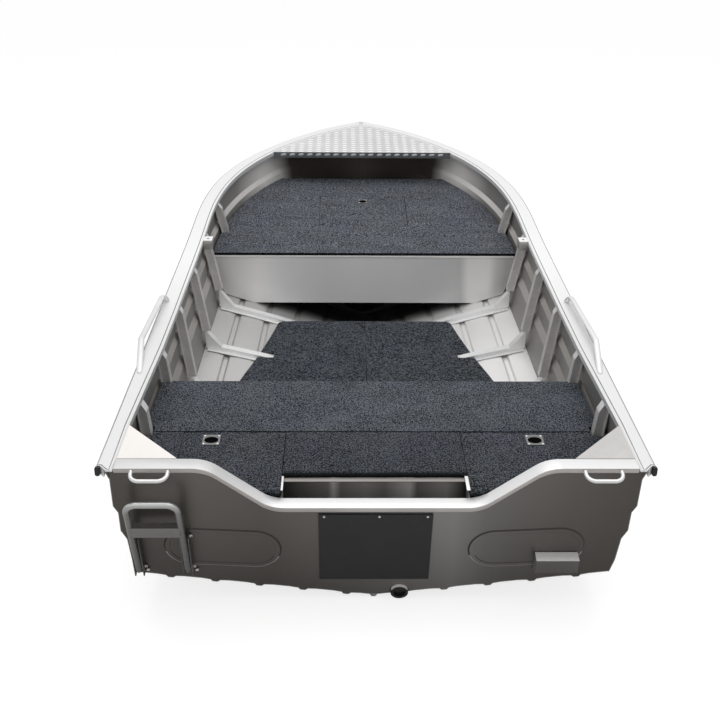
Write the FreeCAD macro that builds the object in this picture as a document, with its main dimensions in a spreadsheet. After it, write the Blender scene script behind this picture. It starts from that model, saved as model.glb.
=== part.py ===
import FreeCAD, Part
import math
import os

Vector = FreeCAD.Vector
Placement = FreeCAD.Placement
Rotation = FreeCAD.Rotation

# An open pressed-aluminium rowing dinghy with a raised bow deck, a stern seat with two side hatches
# and a low transom for a small outboard motor. Millimetres throughout.
# The hull is drawn with X to starboard, Y forward from the transom's top edge and Z up from the keel.
# Every piece is then placed so that the origin lies on the centreline at the empty waterline.

os.makedirs("parts", exist_ok=True)
doc = FreeCAD.newDocument("rowing_dinghy")

# Driving dimensions
DIMENSIONS = [
    ("hull_length", 3795, "nose of the gunwale from the transom's top edge"),
    ("hull_beam", 1786, "over the gunwales at the transom"),
    ("shoulder_beam", 1710, "over the gunwales where the bow curve begins"),
    ("bow_curve_length", 1695, "bow curve, aft of the nose"),
    ("transom_depth", 621, "sheer above the keel at the transom"),
    ("bow_depth", 760, "sheer above the keel at the nose"),
    ("transom_rake", 0.207, "forward lean of the transom for each unit of height"),
    ("origin_station", 1700, "the origin's distance forward of the transom"),
    ("draft", 92, "empty waterline above the keel"),
    ("keel_bar_depth", 10, "keel bar below the bottom plate"),
    ("keel_bar_width", 26, "keel bar and stem band"),
    ("chine_beam", 1631, "over the chines at the transom"),
    ("chine_rise", 120, "chine above the keel line at the transom"),
    ("stem_length", 1045, "where the keel starts to rise into the stem, aft of the nose"),
    ("stem_overhang", 135, "where the chines meet the stem, aft of the nose"),
    ("bottom_plate_wall", 3, "bottom plate"),
    ("side_plate_wall", 3, "side plate"),
    ("sheet_wall", 3, "panels and folded frames"),
    ("strake_first", 96, "innermost strake from the centreline"),
    ("strake_spacing", 152.25, "between the strakes"),
    ("strake_width", 34, "pressed strake's deep channel"),
    ("strake_depth", 12, "pressed strake's deep channel"),
    ("strake_skirt", 92, "shallow pressing either side of a strake"),
    ("skirt_depth", 3, "shallow pressing where the channel begins"),
    ("gunwale_width", 80, "gunwale top, from fender to lip"),
    ("fender_width", 31, "hollow fender part of the gunwale"),
    ("fender_depth", 35, "hollow fender part of the gunwale"),
    ("plug_width", 16, "plugs in the fenders' aft ends"),
    ("lip_depth", 24, "downward lip inside the gunwale"),
    ("cap_width", 59, "transom cap, fore and aft"),
    ("cap_depth", 19, "transom cap's folded edges"),
    ("cut_inner", 300, "half width of the low part of the transom"),
    ("cut_outer", 588, "half width at the top of the cut-out"),
    ("cut_drop", 176, "depth of the transom cut-out"),
    ("knee_length", 236, "corner knees, along the gunwale"),
    ("knee_width", 192, "corner knees, along the transom"),
    ("frame_width", 40, "folded side and bottom frames, fore and aft"),
    ("frame_depth", 34, "folded side frames, inwards"),
    ("frame_rise", 18, "folded bottom frames above the plate"),
    ("frame_foot", 22, "bottom frames' foot flanges"),
    ("side_foot", 10, "side frames' foot flanges"),
    ("bow_web_rise", 60, "plain web across the bow, above the plate"),
    ("frame_first", 470, "first frame's station"),
    ("frame_last", 883, "last frame, aft of the nose"),
    ("gusset_size", 88, "corner gussets of the frames"),
    ("floor_height", 165, "top of the floor"),
    ("floor_wall", 8, "floor boards"),
    ("floor_beam", 1194, "floor boards at their widest"),
    ("floor_inset", 146, "forward edge of the floor, aft of the bow deck"),
    ("seat_height", 471, "top of the stern seat"),
    ("seat_wall", 15, "seat boards and lids"),
    ("seat_front", 857, "forward edge of the stern seat"),
    ("seat_seam", 468, "seam between the seat and the hatches"),
    ("hatch_hinge_station", 118, "hinge axis of the stern hatches"),
    ("hatch_inner", 314, "inner edge of the stern hatches"),
    ("hatch_outer", 678, "outer edge of the stern hatches"),
    ("seam_gap", 5, "gap round the lids"),
    ("latch_width", 68, "flush latches, across"),
    ("latch_length", 60, "flush latches, fore and aft"),
    ("latch_offset", 577, "stern latches from the centreline"),
    ("latch_inset", 60, "stern latches' centres from the lids' front seam"),
    ("bow_latch_inset", 74, "bow latch's centre from the lid's front seam"),
    ("well_front", 184, "front wall of the splash well"),
    ("bow_deck_height", 481, "top of the bow deck at its aft edge"),
    ("bow_deck_inset", 1574, "aft edge of the bow deck, aft of the nose"),
    ("bow_deck_length", 1068, "bow deck, fore and aft"),
    ("bow_deck_slope", 0.055, "rise of the bow deck for each unit forward"),
    ("bow_hatch_width", 474, "bow hatch"),
    ("bow_hatch_inset", 360, "bow hatch's aft seam, forward of the deck's aft edge"),
    ("bow_hatch_length", 413, "bow hatch, fore and aft"),
    ("riser_foot", 205, "lower edge of the bow deck's riser"),
    ("foredeck_length", 576, "aft edge of the foredeck, aft of the nose"),
    ("foredeck_lip", 34, "folded aft edge of the foredeck"),
    ("pad_width", 378, "motor pad"),
    ("pad_bottom", 98, "motor pad's lower edge"),
    ("pad_top", 416, "motor pad's upper edge"),
    ("pad_wall", 6, "motor pad"),
    ("pad_inside_wall", 13, "inside motor pad"),
    ("pad_inside_bottom", 240, "inside motor pad's lower edge"),
    ("pad_inside_top", 425, "inside motor pad's upper edge"),
    ("oval_centre", 513, "pressed ovals on the transom"),
    ("oval_length", 385, "pressed ovals on the transom"),
    ("oval_height", 172, "pressed ovals on the transom"),
    ("oval_level", 253, "pressed ovals' centre above the keel"),
    ("oval_tilt", 3.5, "degrees, pressed ovals follow the bottom"),
    ("ladder_centre", 717, "boarding ladder, to port"),
    ("ladder_pitch", 166, "between the ladder's legs"),
    ("ladder_top", 519, "centre of the ladder's top bar"),
    ("ladder_pivot", 182, "pivot pins above the keel"),
    ("ladder_tube", 22, "ladder tube's diameter"),
    ("ladder_offset", 26, "ladder's legs off the transom at the pivot"),
    ("tread_level", 369, "lower edge of the ladder's tread"),
    ("tread_width", 43, "ladder's tread"),
    ("tread_depth", 26, "ladder's tread"),
    ("bracket_bottom", 135, "ladder brackets' lower edge"),
    ("bracket_top", 335, "ladder brackets' upper edge"),
    ("ladder_pin", 10, "pivot pins' diameter"),
    ("transducer_inner", 545, "transducer bracket's inner edge"),
    ("transducer_width", 146, "transducer bracket"),
    ("transducer_bottom", 148, "transducer bracket's lower edge"),
    ("transducer_top", 233, "transducer bracket's upper edge"),
    ("transducer_reach", 40, "transducer bracket, out from the transom"),
    ("transducer_face", 62, "transducer bracket's outer face"),
    ("handle_tube", 24, "side handles' diameter"),
    ("handle_aft", 620, "side handles' aft feet"),
    ("handle_front", 1330, "side handles' forward feet"),
    ("handle_rise", 46, "side handles' centre above the gunwale"),
    ("transom_handle_tube", 13, "transom handles' diameter"),
    ("transom_handle_inner", 660, "transom handles' inner foot"),
    ("transom_handle_outer", 776, "transom handles' outer foot"),
    ("transom_handle_level", 612, "transom handles above the keel"),
    ("transom_handle_reach", 45, "transom handles, out from the cap"),
    ("rowlock_inset", 261, "rowlock sockets, aft of the bow deck"),
    ("rowlock_block", 58, "rowlock sockets, fore and aft"),
    ("rowlock_depth", 42, "rowlock sockets, inwards from the lip"),
    ("rowlock_bore", 13.5, "rowlock sockets' bore"),
    ("rowlock_length", 46, "rowlock sockets' height"),
    ("bow_eye_level", 62, "bow eye's centre above the chines' meeting"),
    ("bow_eye_height", 44, "between the bow eye's legs"),
    ("bow_eye_reach", 31, "bow eye, out from the stem band"),
    ("bow_eye_rod", 10, "bow eye's rod"),
    ("drain_bore", 42, "drain through the transom"),
    ("drain_ring", 62, "drain's ring"),
    ("drain_offset", 90, "drain's distance from the centreline"),
    ("drain_level", 34, "drain's centre above the keel"),
    ("drain_proud", 12, "drain's ring, out from the transom"),
    ("fit_gap", 0.3, "between pieces that are fastened together"),
]

# Stations that follow from the sizes above
STATION_RULES = [
    ("shoulder_station", "=hull_length - bow_curve_length"),
    ("stem_foot_station", "=hull_length - stem_length"),
    ("stem_chine_station", "=hull_length - stem_overhang"),
    ("bow_deck_aft", "=hull_length - bow_deck_inset"),
    ("bow_deck_front", "=bow_deck_aft + bow_deck_length"),
    ("bow_hatch_aft", "=bow_deck_aft + bow_hatch_inset"),
    ("bow_hatch_front", "=bow_hatch_aft + bow_hatch_length"),
    ("foredeck_aft", "=hull_length - foredeck_length"),
    ("floor_front", "=bow_deck_aft - floor_inset"),
    ("rowlock_station", "=bow_deck_aft - rowlock_inset"),
]

sheet = doc.addObject("Spreadsheet::Sheet", "Sizes")
for row, (alias, value, note) in enumerate(DIMENSIONS, start=1):
    sheet.set("A%d" % row, alias)
    sheet.set("B%d" % row, str(value))
    sheet.set("C%d" % row, note)
    sheet.setAlias("B%d" % row, alias)
for row, (alias, rule) in enumerate(STATION_RULES, start=len(DIMENSIONS) + 2):
    sheet.set("A%d" % row, alias)
    sheet.set("B%d" % row, rule)
    sheet.setAlias("B%d" % row, alias)
doc.recompute()


def size(alias):
    return float(sheet.get(alias))


gap = size("fit_gap")
rake = size("transom_rake")
depth = size("transom_depth")
to_waterline = Placement(Vector(0, -size("origin_station"), -size("draft")), Rotation())
nodes = []
SIDES = ((1, "starboard"), (-1, "port"))


def keep(item, label):
    """Name a finished piece and put it in its place."""
    item.Label = label
    item.Placement = to_waterline.multiply(item.Placement)
    nodes.append(item)
    return item


def feature(label, shape):
    item = doc.addObject("Part::Feature", label + "_shape")
    item.Shape = shape
    return keep(item, label)


# Sketch planes. Each gives the place of a flat outline's own x, y and outward z.
def level(height):
    return Placement(Vector(0, 0, height), Rotation())


def across(station):
    """Outline x is X, y is Z, and it grows aft."""
    return Placement(Vector(0, station, 0), Rotation(Vector(1, 0, 0), 90))


def on_transom(out=0):
    """Outline x is X, y runs up the raked transom from keel level, and it grows aft."""
    lean = math.degrees(math.atan(rake))
    turn = Rotation(Vector(1, 0, 0), 90 + lean)
    foot = Vector(0, depth * rake, 0)
    return Placement(foot + turn.multVec(Vector(0, 0, out)), turn)


def up_transom(height):
    """Distance up the raked transom of a point at this height above the keel."""
    return height * math.sqrt(1 + rake * rake)


def transom_station(height):
    return (depth - height) * rake


def polygon(points):
    corners = [Vector(x, y, 0) for x, y in points]
    return [Part.LineSegment(a, b) for a, b in zip(corners, corners[1:] + corners[:1])]


def rectangle(x_low, x_high, y_low, y_high):
    return polygon([(x_low, y_low), (x_high, y_low), (x_high, y_high), (x_low, y_high)])


def ring(x, y, diameter):
    return [Part.Circle(Vector(x, y, 0), Vector(0, 0, 1), diameter / 2)]


def rounded(x_low, x_high, y_low, y_high, radius):
    """A rectangle with round corners."""
    edges = []
    centres = [(x_high - radius, y_low + radius, -90), (x_high - radius, y_high - radius, 0),
               (x_low + radius, y_high - radius, 90), (x_low + radius, y_low + radius, 180)]
    ends = []
    for x, y, start in centres:
        circle = Part.Circle(Vector(x, y, 0), Vector(0, 0, 1), radius)
        arc = Part.ArcOfCircle(circle, math.radians(start), math.radians(start + 90))
        ends.append(arc)
    for arc, following in zip(ends, ends[1:] + ends[:1]):
        edges.append(arc)
        edges.append(Part.LineSegment(arc.EndPoint, following.StartPoint))
    return edges


def sketch_on(body, name, edges, place):
    sketch = body.newObject("Sketcher::SketchObject", name)
    plane = [item for item in body.Origin.OriginFeatures if item.Role == "XY_Plane"][0]
    sketch.AttachmentSupport = [(plane, "")]
    sketch.MapMode = "FlatFace"
    sketch.AttachmentOffset = place
    sketch.addGeometry(edges, False)
    return sketch


def pad(label, edges, place, length):
    """A body whose first feature is a padded outline; length is an expression of the sheet."""
    body = doc.addObject("PartDesign::Body", label + "_body")
    outline = sketch_on(body, label + "_outline", edges, place)
    step = body.newObject("PartDesign::Pad", label + "_pad")
    step.Profile = outline
    step.setExpression("Length", length)
    outline.Visibility = False
    return body


def pocket(body, name, edges, place, length):
    """Cut an outline into the body, against the outline's own z."""
    outline = sketch_on(body, name + "_outline", edges, place)
    step = body.newObject("PartDesign::Pocket", name + "_pocket")
    step.Profile = outline
    step.setExpression("Length", length)
    return step


def tube(points, radius, bend):
    """A round bar along straight runs joined by arcs of one bend radius."""
    path = []
    start = points[0]
    for before, corner, after in zip(points, points[1:], points[2:]):
        into = (corner - before).normalize()
        out = (after - corner).normalize()
        half = into.getAngle(out) / 2
        reach = bend * math.tan(half)
        first = corner - into * reach
        last = corner + out * reach
        middle_way = (out - into).normalize()
        centre = corner + middle_way * (bend / math.cos(half))
        middle = centre - middle_way * bend
        path.append(Part.LineSegment(start, first).toShape())
        path.append(Part.Arc(first, middle, last).toShape())
        start = last
    path.append(Part.LineSegment(start, points[-1]).toShape())
    spine = Part.Wire(path)
    heading = points[1] - points[0]
    section = Part.Wire([Part.Circle(points[0], heading, radius).toShape()])
    return spine.makePipeShell([section], True, True)


# Hull lines
length = size("hull_length")
shoulder = size("shoulder_station")
stem_chine = size("stem_chine_station")
stem_foot = size("stem_foot_station")
chine_start = transom_station(size("chine_rise") + size("keel_bar_depth"))
keel_start = transom_station(size("keel_bar_depth"))
BOW_FULLNESS = 2.7
BOW_CLOSING = 0.84
AFT_TAPER = 1.3
TOP_FLANGE = 6
GUNWALE_OVERHANG = 14


def sheer(station):
    """Height of the gunwale's top."""
    return depth + (size("bow_depth") - depth) * (max(station, 0) / length) ** 2


def half_beam(station):
    """Gunwale's outer edge: a gentle taper aft and a full rounded bow."""
    aft = size("hull_beam") / 2
    middle = size("shoulder_beam") / 2
    if station <= shoulder:
        return aft - (aft - middle) * (max(station, 0) / shoulder) ** AFT_TAPER
    reach = min((station - shoulder) / (length - shoulder), 1)
    return middle * (1 - reach ** BOW_FULLNESS) ** BOW_CLOSING


def outward(station):
    """Unit normal of the gunwale's outer edge in plan."""
    step = 1.0
    low = max(station - step, 0)
    high = min(station + step, length - 0.01)
    low = min(low, high - step)
    slope = (half_beam(high) - half_beam(low)) / (high - low)
    return Vector(1, -slope, 0).normalize()


def inside_outline(station, inset):
    """Point in plan, this far inside the gunwale's outer edge."""
    return Vector(half_beam(station), station, 0) - outward(station) * inset


def nose_station(inset):
    """Station on the outer edge whose inset point lies on the centreline."""
    low = shoulder
    high = length
    for _ in range(50):
        middle = (low + high) / 2
        if inside_outline(middle, inset).x > 0:
            low = middle
        else:
            high = middle
    return low


# Shares of the length at which the hull's sections are drawn
STATIONS = [0, 0.12, 0.26, 0.4, 0.53, 0.63, 0.72, 0.8, 0.87, 0.925, 0.965, 1]


CHINE_NARROWING = 23.45
CHINE_CLIMB = 40.7
CHINE_BOW_FULLNESS = 3
CHINE_BOW_CLOSING = 0.65


def chine(reach):
    """Outer corner between bottom and side; reach runs from 0 at the transom to 1 at the stem."""
    station = chine_start + (stem_chine - chine_start) * reach
    run = (station - chine_start) / 1000
    narrowing = CHINE_NARROWING * run ** 1.6
    bow = min(max((station - shoulder) / (stem_chine - shoulder), 0), 1)
    half = (size("chine_beam") / 2 - narrowing) * (1 - bow ** CHINE_BOW_FULLNESS) ** CHINE_BOW_CLOSING
    rise = CHINE_CLIMB * run ** 1.447
    return Vector(half, station, size("keel_bar_depth") + size("chine_rise") + rise)


def stem(share):
    """The stem's curve from the keel to the chines' meeting, an arc of an ellipse."""
    top = chine(1)
    foot_height = size("keel_bar_depth")
    turn = stem_turn * share
    across_part = math.sin(turn) / math.sin(stem_turn)
    up_part = (1 - math.cos(turn)) / (1 - math.cos(stem_turn))
    return Vector(0, stem_foot + (top.y - stem_foot) * across_part,
                  foot_height + (top.z - foot_height) * up_part)


def keel(reach):
    return Vector(0, keel_start + (stem_foot - keel_start) * reach, size("keel_bar_depth"))


def bottom_edge(reach):
    """Edge of the bottom plate, inside the side plate's foot."""
    corner = chine(reach)
    inset = size("side_plate_wall") + gap
    if reach >= 1:
        return corner - Vector(0, inset, 0)
    facing = outward(nose_station(size("fender_width") + gap) * reach)
    if reach <= 0:
        facing = Vector(1, 0, 0)
    return corner - facing * min(inset, corner.x / 2)


def bottom_point(reach, share, drop=0, inner=0):
    """Point on the bottom: share 0 at the keel and 1 at the chine, dropped out of the plate by a
    strake and moved inwards by the plate's wall."""
    low = keel(reach)
    high = bottom_edge(reach)
    chord = stem(0) + (stem(1) - stem(0)) * share
    bulge = (stem(share) - chord) * reach ** 5
    point = low + (high - low) * share + bulge
    if reach >= 1:
        return point + Vector(0, -inner, inner) * 0.7
    point.y = low.y + (high.y - low.y) * share + bulge.y
    span = Vector(high.x - low.x, 0, high.z - low.z).normalize()
    normal = Vector(span.z, 0, -span.x)
    fade = 1 - reach ** 8
    point = point + normal * (drop * fade - inner)
    if reach <= 0:
        point.y = transom_station(point.z)
    return point


def side_top(reach, inset):
    """Top edge of the side plate, inside the fender."""
    station = nose_station(inset) * reach
    edge = inside_outline(station, inset)
    height = sheer(edge.y) - TOP_FLANGE - 1.5
    if reach <= 0:
        edge.y = transom_station(height)
    if reach >= 1:
        edge.x = 0
    return Vector(edge.x, edge.y, height)


def stem_arc():
    """How far the stem's ellipse turns to end in line with the stem's straight top."""
    low = chine(1)
    high = side_top(1, size("fender_width") + gap)
    slope = (high.z - low.z) / (high.y - low.y)
    ratio = slope * (low.y - stem_foot) / (low.z - size("keel_bar_depth"))
    return math.acos(1 / (ratio - 1))


stem_turn = stem_arc()


SIDE_STEPS = [(0, 0), (0.124, 5), (0.341, -1), (0.424, 11), (0.6, 0), (0.662, 10), (0.91, -6.5),
              (0.982, 1), (1, 0)]


def side_point(reach, share, step=0, inner=0):
    """Point on the side: share 0 at the chine and 1 under the gunwale, stepped outwards like planks."""
    inset = size("fender_width") + gap
    low = chine(reach)
    high = side_top(reach, inset)
    point = low + (high - low) * share
    facing = outward(nose_station(inset) * reach)
    if reach >= 1:
        return point - Vector(0, inner / max(facing.y, 0.3), 0)
    fade = 1 - reach ** 8
    move = facing * (step * fade - inner)
    if reach <= 0:
        move.y = 0
    return point + move


def loft(wires):
    """A solid whose outlines follow one another: a smooth line through each corner, a ruled face
    between neighbouring lines and a flat face at each end."""
    lines = []
    for corner in zip(*wires):
        line = Part.BSplineCurve()
        line.interpolate(list(corner))
        lines.append(line.toShape())
    faces = [Part.makeRuledSurface(a, b) for a, b in zip(lines, lines[1:] + lines[:1])]
    for points in (wires[0], wires[-1]):
        faces.append(Part.Face(Part.makePolygon(points + points[:1])))
    shell = Part.makeShell(faces)
    shell.sewShape()
    solid = Part.makeSolid(shell)
    if solid.Volume < 0:
        solid.reverse()
    return solid


STRAKE_COUNT = 5
STRAKE_FLOOR = 0.5


def strake_shares():
    """Shares of the bottom's width where the pressed strakes bend."""
    half = size("chine_beam") / 2
    skirt = size("strake_skirt") / 2
    edge = size("strake_width") / 2
    floor = edge * STRAKE_FLOOR
    section = [(-skirt, 0), (-edge, size("skirt_depth")), (-floor, size("strake_depth")),
               (floor, size("strake_depth")), (edge, size("skirt_depth")), (skirt, 0)]
    places = []
    for index in range(STRAKE_COUNT):
        centre = size("strake_first") + size("strake_spacing") * index
        for offset, drop in section:
            places.append(((centre + offset) / half, drop))
    return places


def bottom_profile():
    return [(0, 0)] + strake_shares() + [(1, 0)]


def bottom_plate():
    wall = size("bottom_plate_wall")
    wires = []
    for reach in STATIONS:
        outer = [bottom_point(reach, share, drop) for share, drop in bottom_profile()]
        inner = [bottom_point(reach, share, drop, wall) for share, drop in bottom_profile()]
        inner[0].x = 0
        wires.append(outer + inner[::-1])
    return loft(wires)


def side_plate():
    wall = size("side_plate_wall")
    wires = []
    for reach in STATIONS:
        outer = [side_point(reach, share, step) for share, step in SIDE_STEPS]
        inner = [side_point(reach, share, step, wall) for share, step in SIDE_STEPS]
        wires.append(outer + inner[::-1])
    return loft(wires)


def mirrored(shape):
    return shape.mirror(Vector(0, 0, 0), Vector(1, 0, 0))


def both_sides(name, starboard):
    feature(name + "_starboard", starboard)
    feature(name + "_port", mirrored(starboard))


both_sides("bottom_plate", bottom_plate())
both_sides("side_plate", side_plate())


# Sections of the finished hull at one station, used by everything that fits inside it
def reach_at(station, share, point):
    low = 0.0
    high = 1.0
    for _ in range(40):
        middle = (low + high) / 2
        if point(middle, share).y < station:
            low = middle
        else:
            high = middle
    return (low + high) / 2


def stem_share(station):
    """Share of the bottom's width that has already run into the stem at this station."""
    low = 0.0
    high = 1.0
    if station <= stem_foot:
        return low
    for _ in range(40):
        middle = (low + high) / 2
        if stem(middle).y < station:
            low = middle
        else:
            high = middle
    return high


def inner_bottom(station, clear, count=8):
    """Points (x, z) just above the bottom plate from the keel to the chine, on its flat panels."""
    wall = size("bottom_plate_wall")
    first = stem_share(station)
    line = []
    for index in range(count + 1):
        share = first + (1 - first) * index / count
        reach = reach_at(station, share, bottom_point)
        line.append(bottom_point(reach, share))
    points = []
    for index, point in enumerate(line):
        before = line[max(index - 1, 0)]
        after = line[min(index + 1, count)]
        slope = (after.z - before.z) / (after.x - before.x)
        points.append((point.x, point.z + wall * math.sqrt(1.06 + slope * slope) + clear))
    return points


def inner_side(station, clear, count=8):
    """Points (x, z) just inside the side plate's innermost folds, from the chine to the gunwale."""
    wall = size("side_plate_wall")
    points = []
    for index in range(count + 1):
        share = index / count
        reach = reach_at(station, share, side_point)
        point = side_point(reach, share)
        points.append((point.x - wall * 1.06 - clear, point.z))
    return points


def between(points, value, axis):
    """Interpolate a section at a given x (axis 0) or z (axis 1)."""
    for low, high in zip(points, points[1:]):
        if low[axis] <= value <= high[axis]:
            share = (value - low[axis]) / max(high[axis] - low[axis], 1e-6)
            return low[1 - axis] + (high[1 - axis] - low[1 - axis]) * share
    return points[-1][1 - axis] if value > points[-1][axis] else points[0][1 - axis]


def bulkhead(station, low_z, high_z, clear):
    """Half outline (x, z) of a panel across the hull between two heights, mirrored to both sides."""
    bottom = [point for point in inner_bottom(station, clear) if point[1] > low_z]
    side = [point for point in inner_side(station, clear + 7) if point[1] < high_z]
    start = []
    if inner_bottom(station, clear)[0][1] < low_z:
        start = [(between(inner_bottom(station, clear), low_z, 1), low_z)]
    corner = bottom[-1]
    bottom[-1] = (min(corner[0], inner_side(station, clear + 7)[0][0]) - 3, corner[1] + 1)
    top = [(between(inner_side(station, clear + 7), high_z, 1), high_z)]
    right = start + bottom + [point for point in side if point[1] > bottom[-1][1] + 5] + top
    if right[0][0] < 1:
        right = right[1:] if not start else right
        right = [(0, inner_bottom(station, clear)[0][1])] + right
        left = [(-x, z) for x, z in right[1:]]
    else:
        left = [(-x, z) for x, z in right]
    return right + left[::-1]


# Keel bar and stem band, one bent bar outside the plates
def keel_bar():
    half = size("keel_bar_width") / 2
    deep = size("keel_bar_depth") - gap
    inset = size("fender_width") + gap
    top = side_top(1, inset)
    line = [keel(index / 5) for index in range(5)] + [stem(index / 10) for index in range(11)]
    rise = (top.z - size("fender_depth") + TOP_FLANGE - stem(1).z) / (top.z - stem(1).z)
    line.extend([stem(1) + (top - stem(1)) * (rise * index / 8) for index in range(1, 9)])
    wires = []
    for index, point in enumerate(line):
        before = line[max(index - 1, 0)]
        after = line[min(index + 1, len(line) - 1)]
        heading = (after - before).normalize()
        out = Vector(0, heading.z, -heading.y)
        near = point + out * gap
        far = point + out * (gap + deep)
        if index == 0:
            far.y = transom_station(far.z)
            near.y = transom_station(near.z)
        wide = Vector(half, 0, 0)
        slim = Vector(half * 0.45, 0, 0)
        wires.append([near - wide, far - slim, far + slim, near + wide])
    return loft(wires)


stem_band = keel_bar()
feature("keel_bar", stem_band)


# Transom
def s_curve(x_low, y_low, x_high, y_high, lean):
    """Two equal arcs joined by a straight run that climbs at the given angle."""
    angle = math.radians(lean)
    run = x_high - x_low
    rise = y_high - y_low
    radius = (run * math.sin(angle) - rise * math.cos(angle)) / (2 * (1 - math.cos(angle)))
    low_centre = Vector(x_low, y_low + radius, 0)
    high_centre = Vector(x_high, y_high - radius, 0)

    def on_low(turn):
        return low_centre + Vector(math.sin(turn), -math.cos(turn), 0) * radius

    def on_high(turn):
        return high_centre + Vector(-math.sin(turn), math.cos(turn), 0) * radius

    return [(on_low(0), on_low(angle / 2), on_low(angle)),
            (on_high(angle), on_high(angle / 2), on_high(0))]


CUT_LEAN = 42


def transom_top(lower, end):
    """Edges of the transom's top line between its two ends, moved down by lower."""
    edges = []
    top = up_transom(depth) - lower
    bottom = top - up_transom(size("cut_drop"))
    low_arc, high_arc = s_curve(size("cut_inner"), bottom, size("cut_outer"), top, CUT_LEAN)

    def flip(point):
        return Vector(-point.x, point.y, 0)

    edges.append(Part.LineSegment(Vector(-end, top, 0), flip(high_arc[2])))
    edges.append(Part.Arc(*[flip(point) for point in high_arc[::-1]]))
    edges.append(Part.LineSegment(flip(high_arc[0]), flip(low_arc[2])))
    edges.append(Part.Arc(*[flip(point) for point in low_arc[::-1]]))
    edges.append(Part.LineSegment(flip(low_arc[0]), low_arc[0]))
    edges.append(Part.Arc(*low_arc))
    edges.append(Part.LineSegment(low_arc[2], high_arc[0]))
    edges.append(Part.Arc(*high_arc))
    edges.append(Part.LineSegment(high_arc[2], Vector(end, top, 0)))
    return edges


OVAL_PROUD = 3


def transom_plate():
    """The raked plate inside the ends of the bottom and side plates, with two pressed ovals."""
    wall = size("sheet_wall")
    half = [bottom_point(0, share, drop, size("bottom_plate_wall") + gap)
            for share, drop in bottom_profile()]
    side = [side_point(0, share, step, size("side_plate_wall") + gap) for share, step in SIDE_STEPS]
    start = half[0]
    start.x = 0
    corner = Vector(side[0].x, half[-1].y, half[-1].z)
    right = [(point.x, up_transom(point.z)) for point in half[:-1] + [corner] + side[1:-2]]
    lower = TOP_FLANGE + 2 * gap
    end = right[-1][0]
    right.append((end, up_transom(depth) - lower))
    upper = transom_top(lower, end)
    inner_edges = upper[1:-1]
    left = [(-x, y) for x, y in right[1:]]
    rim = [Vector(x, y, 0) for x, y in left[::-1] + right]
    segments = [Part.LineSegment(a, b).toShape() for a, b in zip(rim, rim[1:])]
    segments.append(Part.LineSegment(rim[-1], inner_edges[-1].EndPoint).toShape())
    segments.extend([edge.toShape() for edge in inner_edges[::-1]])
    segments.append(Part.LineSegment(inner_edges[0].StartPoint, rim[0]).toShape())
    face = Part.Face(Part.Wire(Part.__sortEdges__(segments)))
    plate = face.extrude(Vector(0, 0, -wall))
    for way in (-1, 1):
        plate = plate.fuse(oval(way, 0, OVAL_PROUD))
        plate = plate.cut(oval(way, 12, OVAL_PROUD / 2, OVAL_PROUD / 2 + 0.01))
    plate.Placement = on_transom()
    return plate


def oval(way, inset, high, lift=0):
    """A pressed oval, standing proud of the transom."""
    radius = size("oval_height") / 2 - inset
    reach = size("oval_length") / 2 - size("oval_height") / 2
    bar = Part.makeBox(2 * reach, 2 * radius, high, Vector(-reach, -radius, 0))
    ends = [Part.makeCylinder(radius, high, Vector(x, 0, 0)) for x in (-reach, reach)]
    shape = bar.fuse(ends).removeSplitter()
    shape.Placement = Placement(Vector(way * size("oval_centre"), up_transom(size("oval_level")), lift),
                                Rotation(Vector(0, 0, 1), way * size("oval_tilt")))
    return shape


feature("transom_plate", transom_plate())


CAP_PROUD = 5


def transom_cap():
    """Folded cap over the transom's top edge: a strip that follows the S curves, open below."""
    wall = size("sheet_wall")
    out = CAP_PROUD
    wide = size("cap_width")
    deep = size("cap_depth")
    end = half_beam(wide) - size("gunwale_width") - gap

    def band(lower, drop, aft, front):
        upper = transom_top(lower, end)
        under = transom_top(lower + drop, end)
        ends = [Part.LineSegment(upper[0].StartPoint, under[0].StartPoint),
                Part.LineSegment(upper[-1].EndPoint, under[-1].EndPoint)]
        edges = [edge.toShape() for edge in upper + under + ends]
        face = Part.Face(Part.Wire(Part.__sortEdges__(edges)))
        face.Placement = on_transom()
        shape = face.extrude(Vector(0, front - aft, 0))
        shape.translate(Vector(0, aft, 0))
        return shape

    cap = band(0, deep, -out, wide - out)
    hollow = band(wall, deep, wall - out, wide - out - wall)
    return cap.cut(hollow)


feature("transom_cap", transom_cap())


# Gunwales, with their outer corners cut off at the stern
PLUG_STATION = 14


def gunwale():
    wide = size("gunwale_width")
    fender = size("fender_width")
    tall = size("fender_depth")
    profile = [(0, 12), (3, 4), (11, 0), (wide - 6, 0), (wide, 4), (wide, size("lip_depth")),
               (wide - 4, size("lip_depth")), (wide - 4, TOP_FLANGE), (fender, TOP_FLANGE),
               (fender, tall - 3), (fender - 6, tall), (6, tall), (0, tall - 8)]
    wires = []
    for reach in STATIONS:
        points = []
        for inset, drop in profile:
            station = nose_station(inset) * reach
            edge = inside_outline(station, inset)
            if reach >= 1:
                edge.x = 0
            if reach <= 0:
                edge.y = -GUNWALE_OVERHANG
            points.append(Vector(edge.x, edge.y, sheer(edge.y) - drop))
        wires.append(points)
    beam = size("hull_beam") / 2
    notch = Part.makeBox(TOP_FLANGE, 60, size("lip_depth"),
                         Vector(beam - wide - 1, -40, depth - TOP_FLANGE - size("lip_depth")))
    low = depth - 2 * tall
    plan = [Vector(beam + tall, PLUG_STATION, low), Vector(beam - size("plug_width"), PLUG_STATION, low),
            Vector(beam - wide / 2, -GUNWALE_OVERHANG, low), Vector(beam - wide / 2, -tall, low),
            Vector(beam + tall, -tall, low)]
    corner = Part.Face(Part.makePolygon(plan + plan[:1])).extrude(Vector(0, 0, 3 * tall))
    return loft(wires).cut([notch, corner])


both_sides("gunwale", gunwale())


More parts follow.
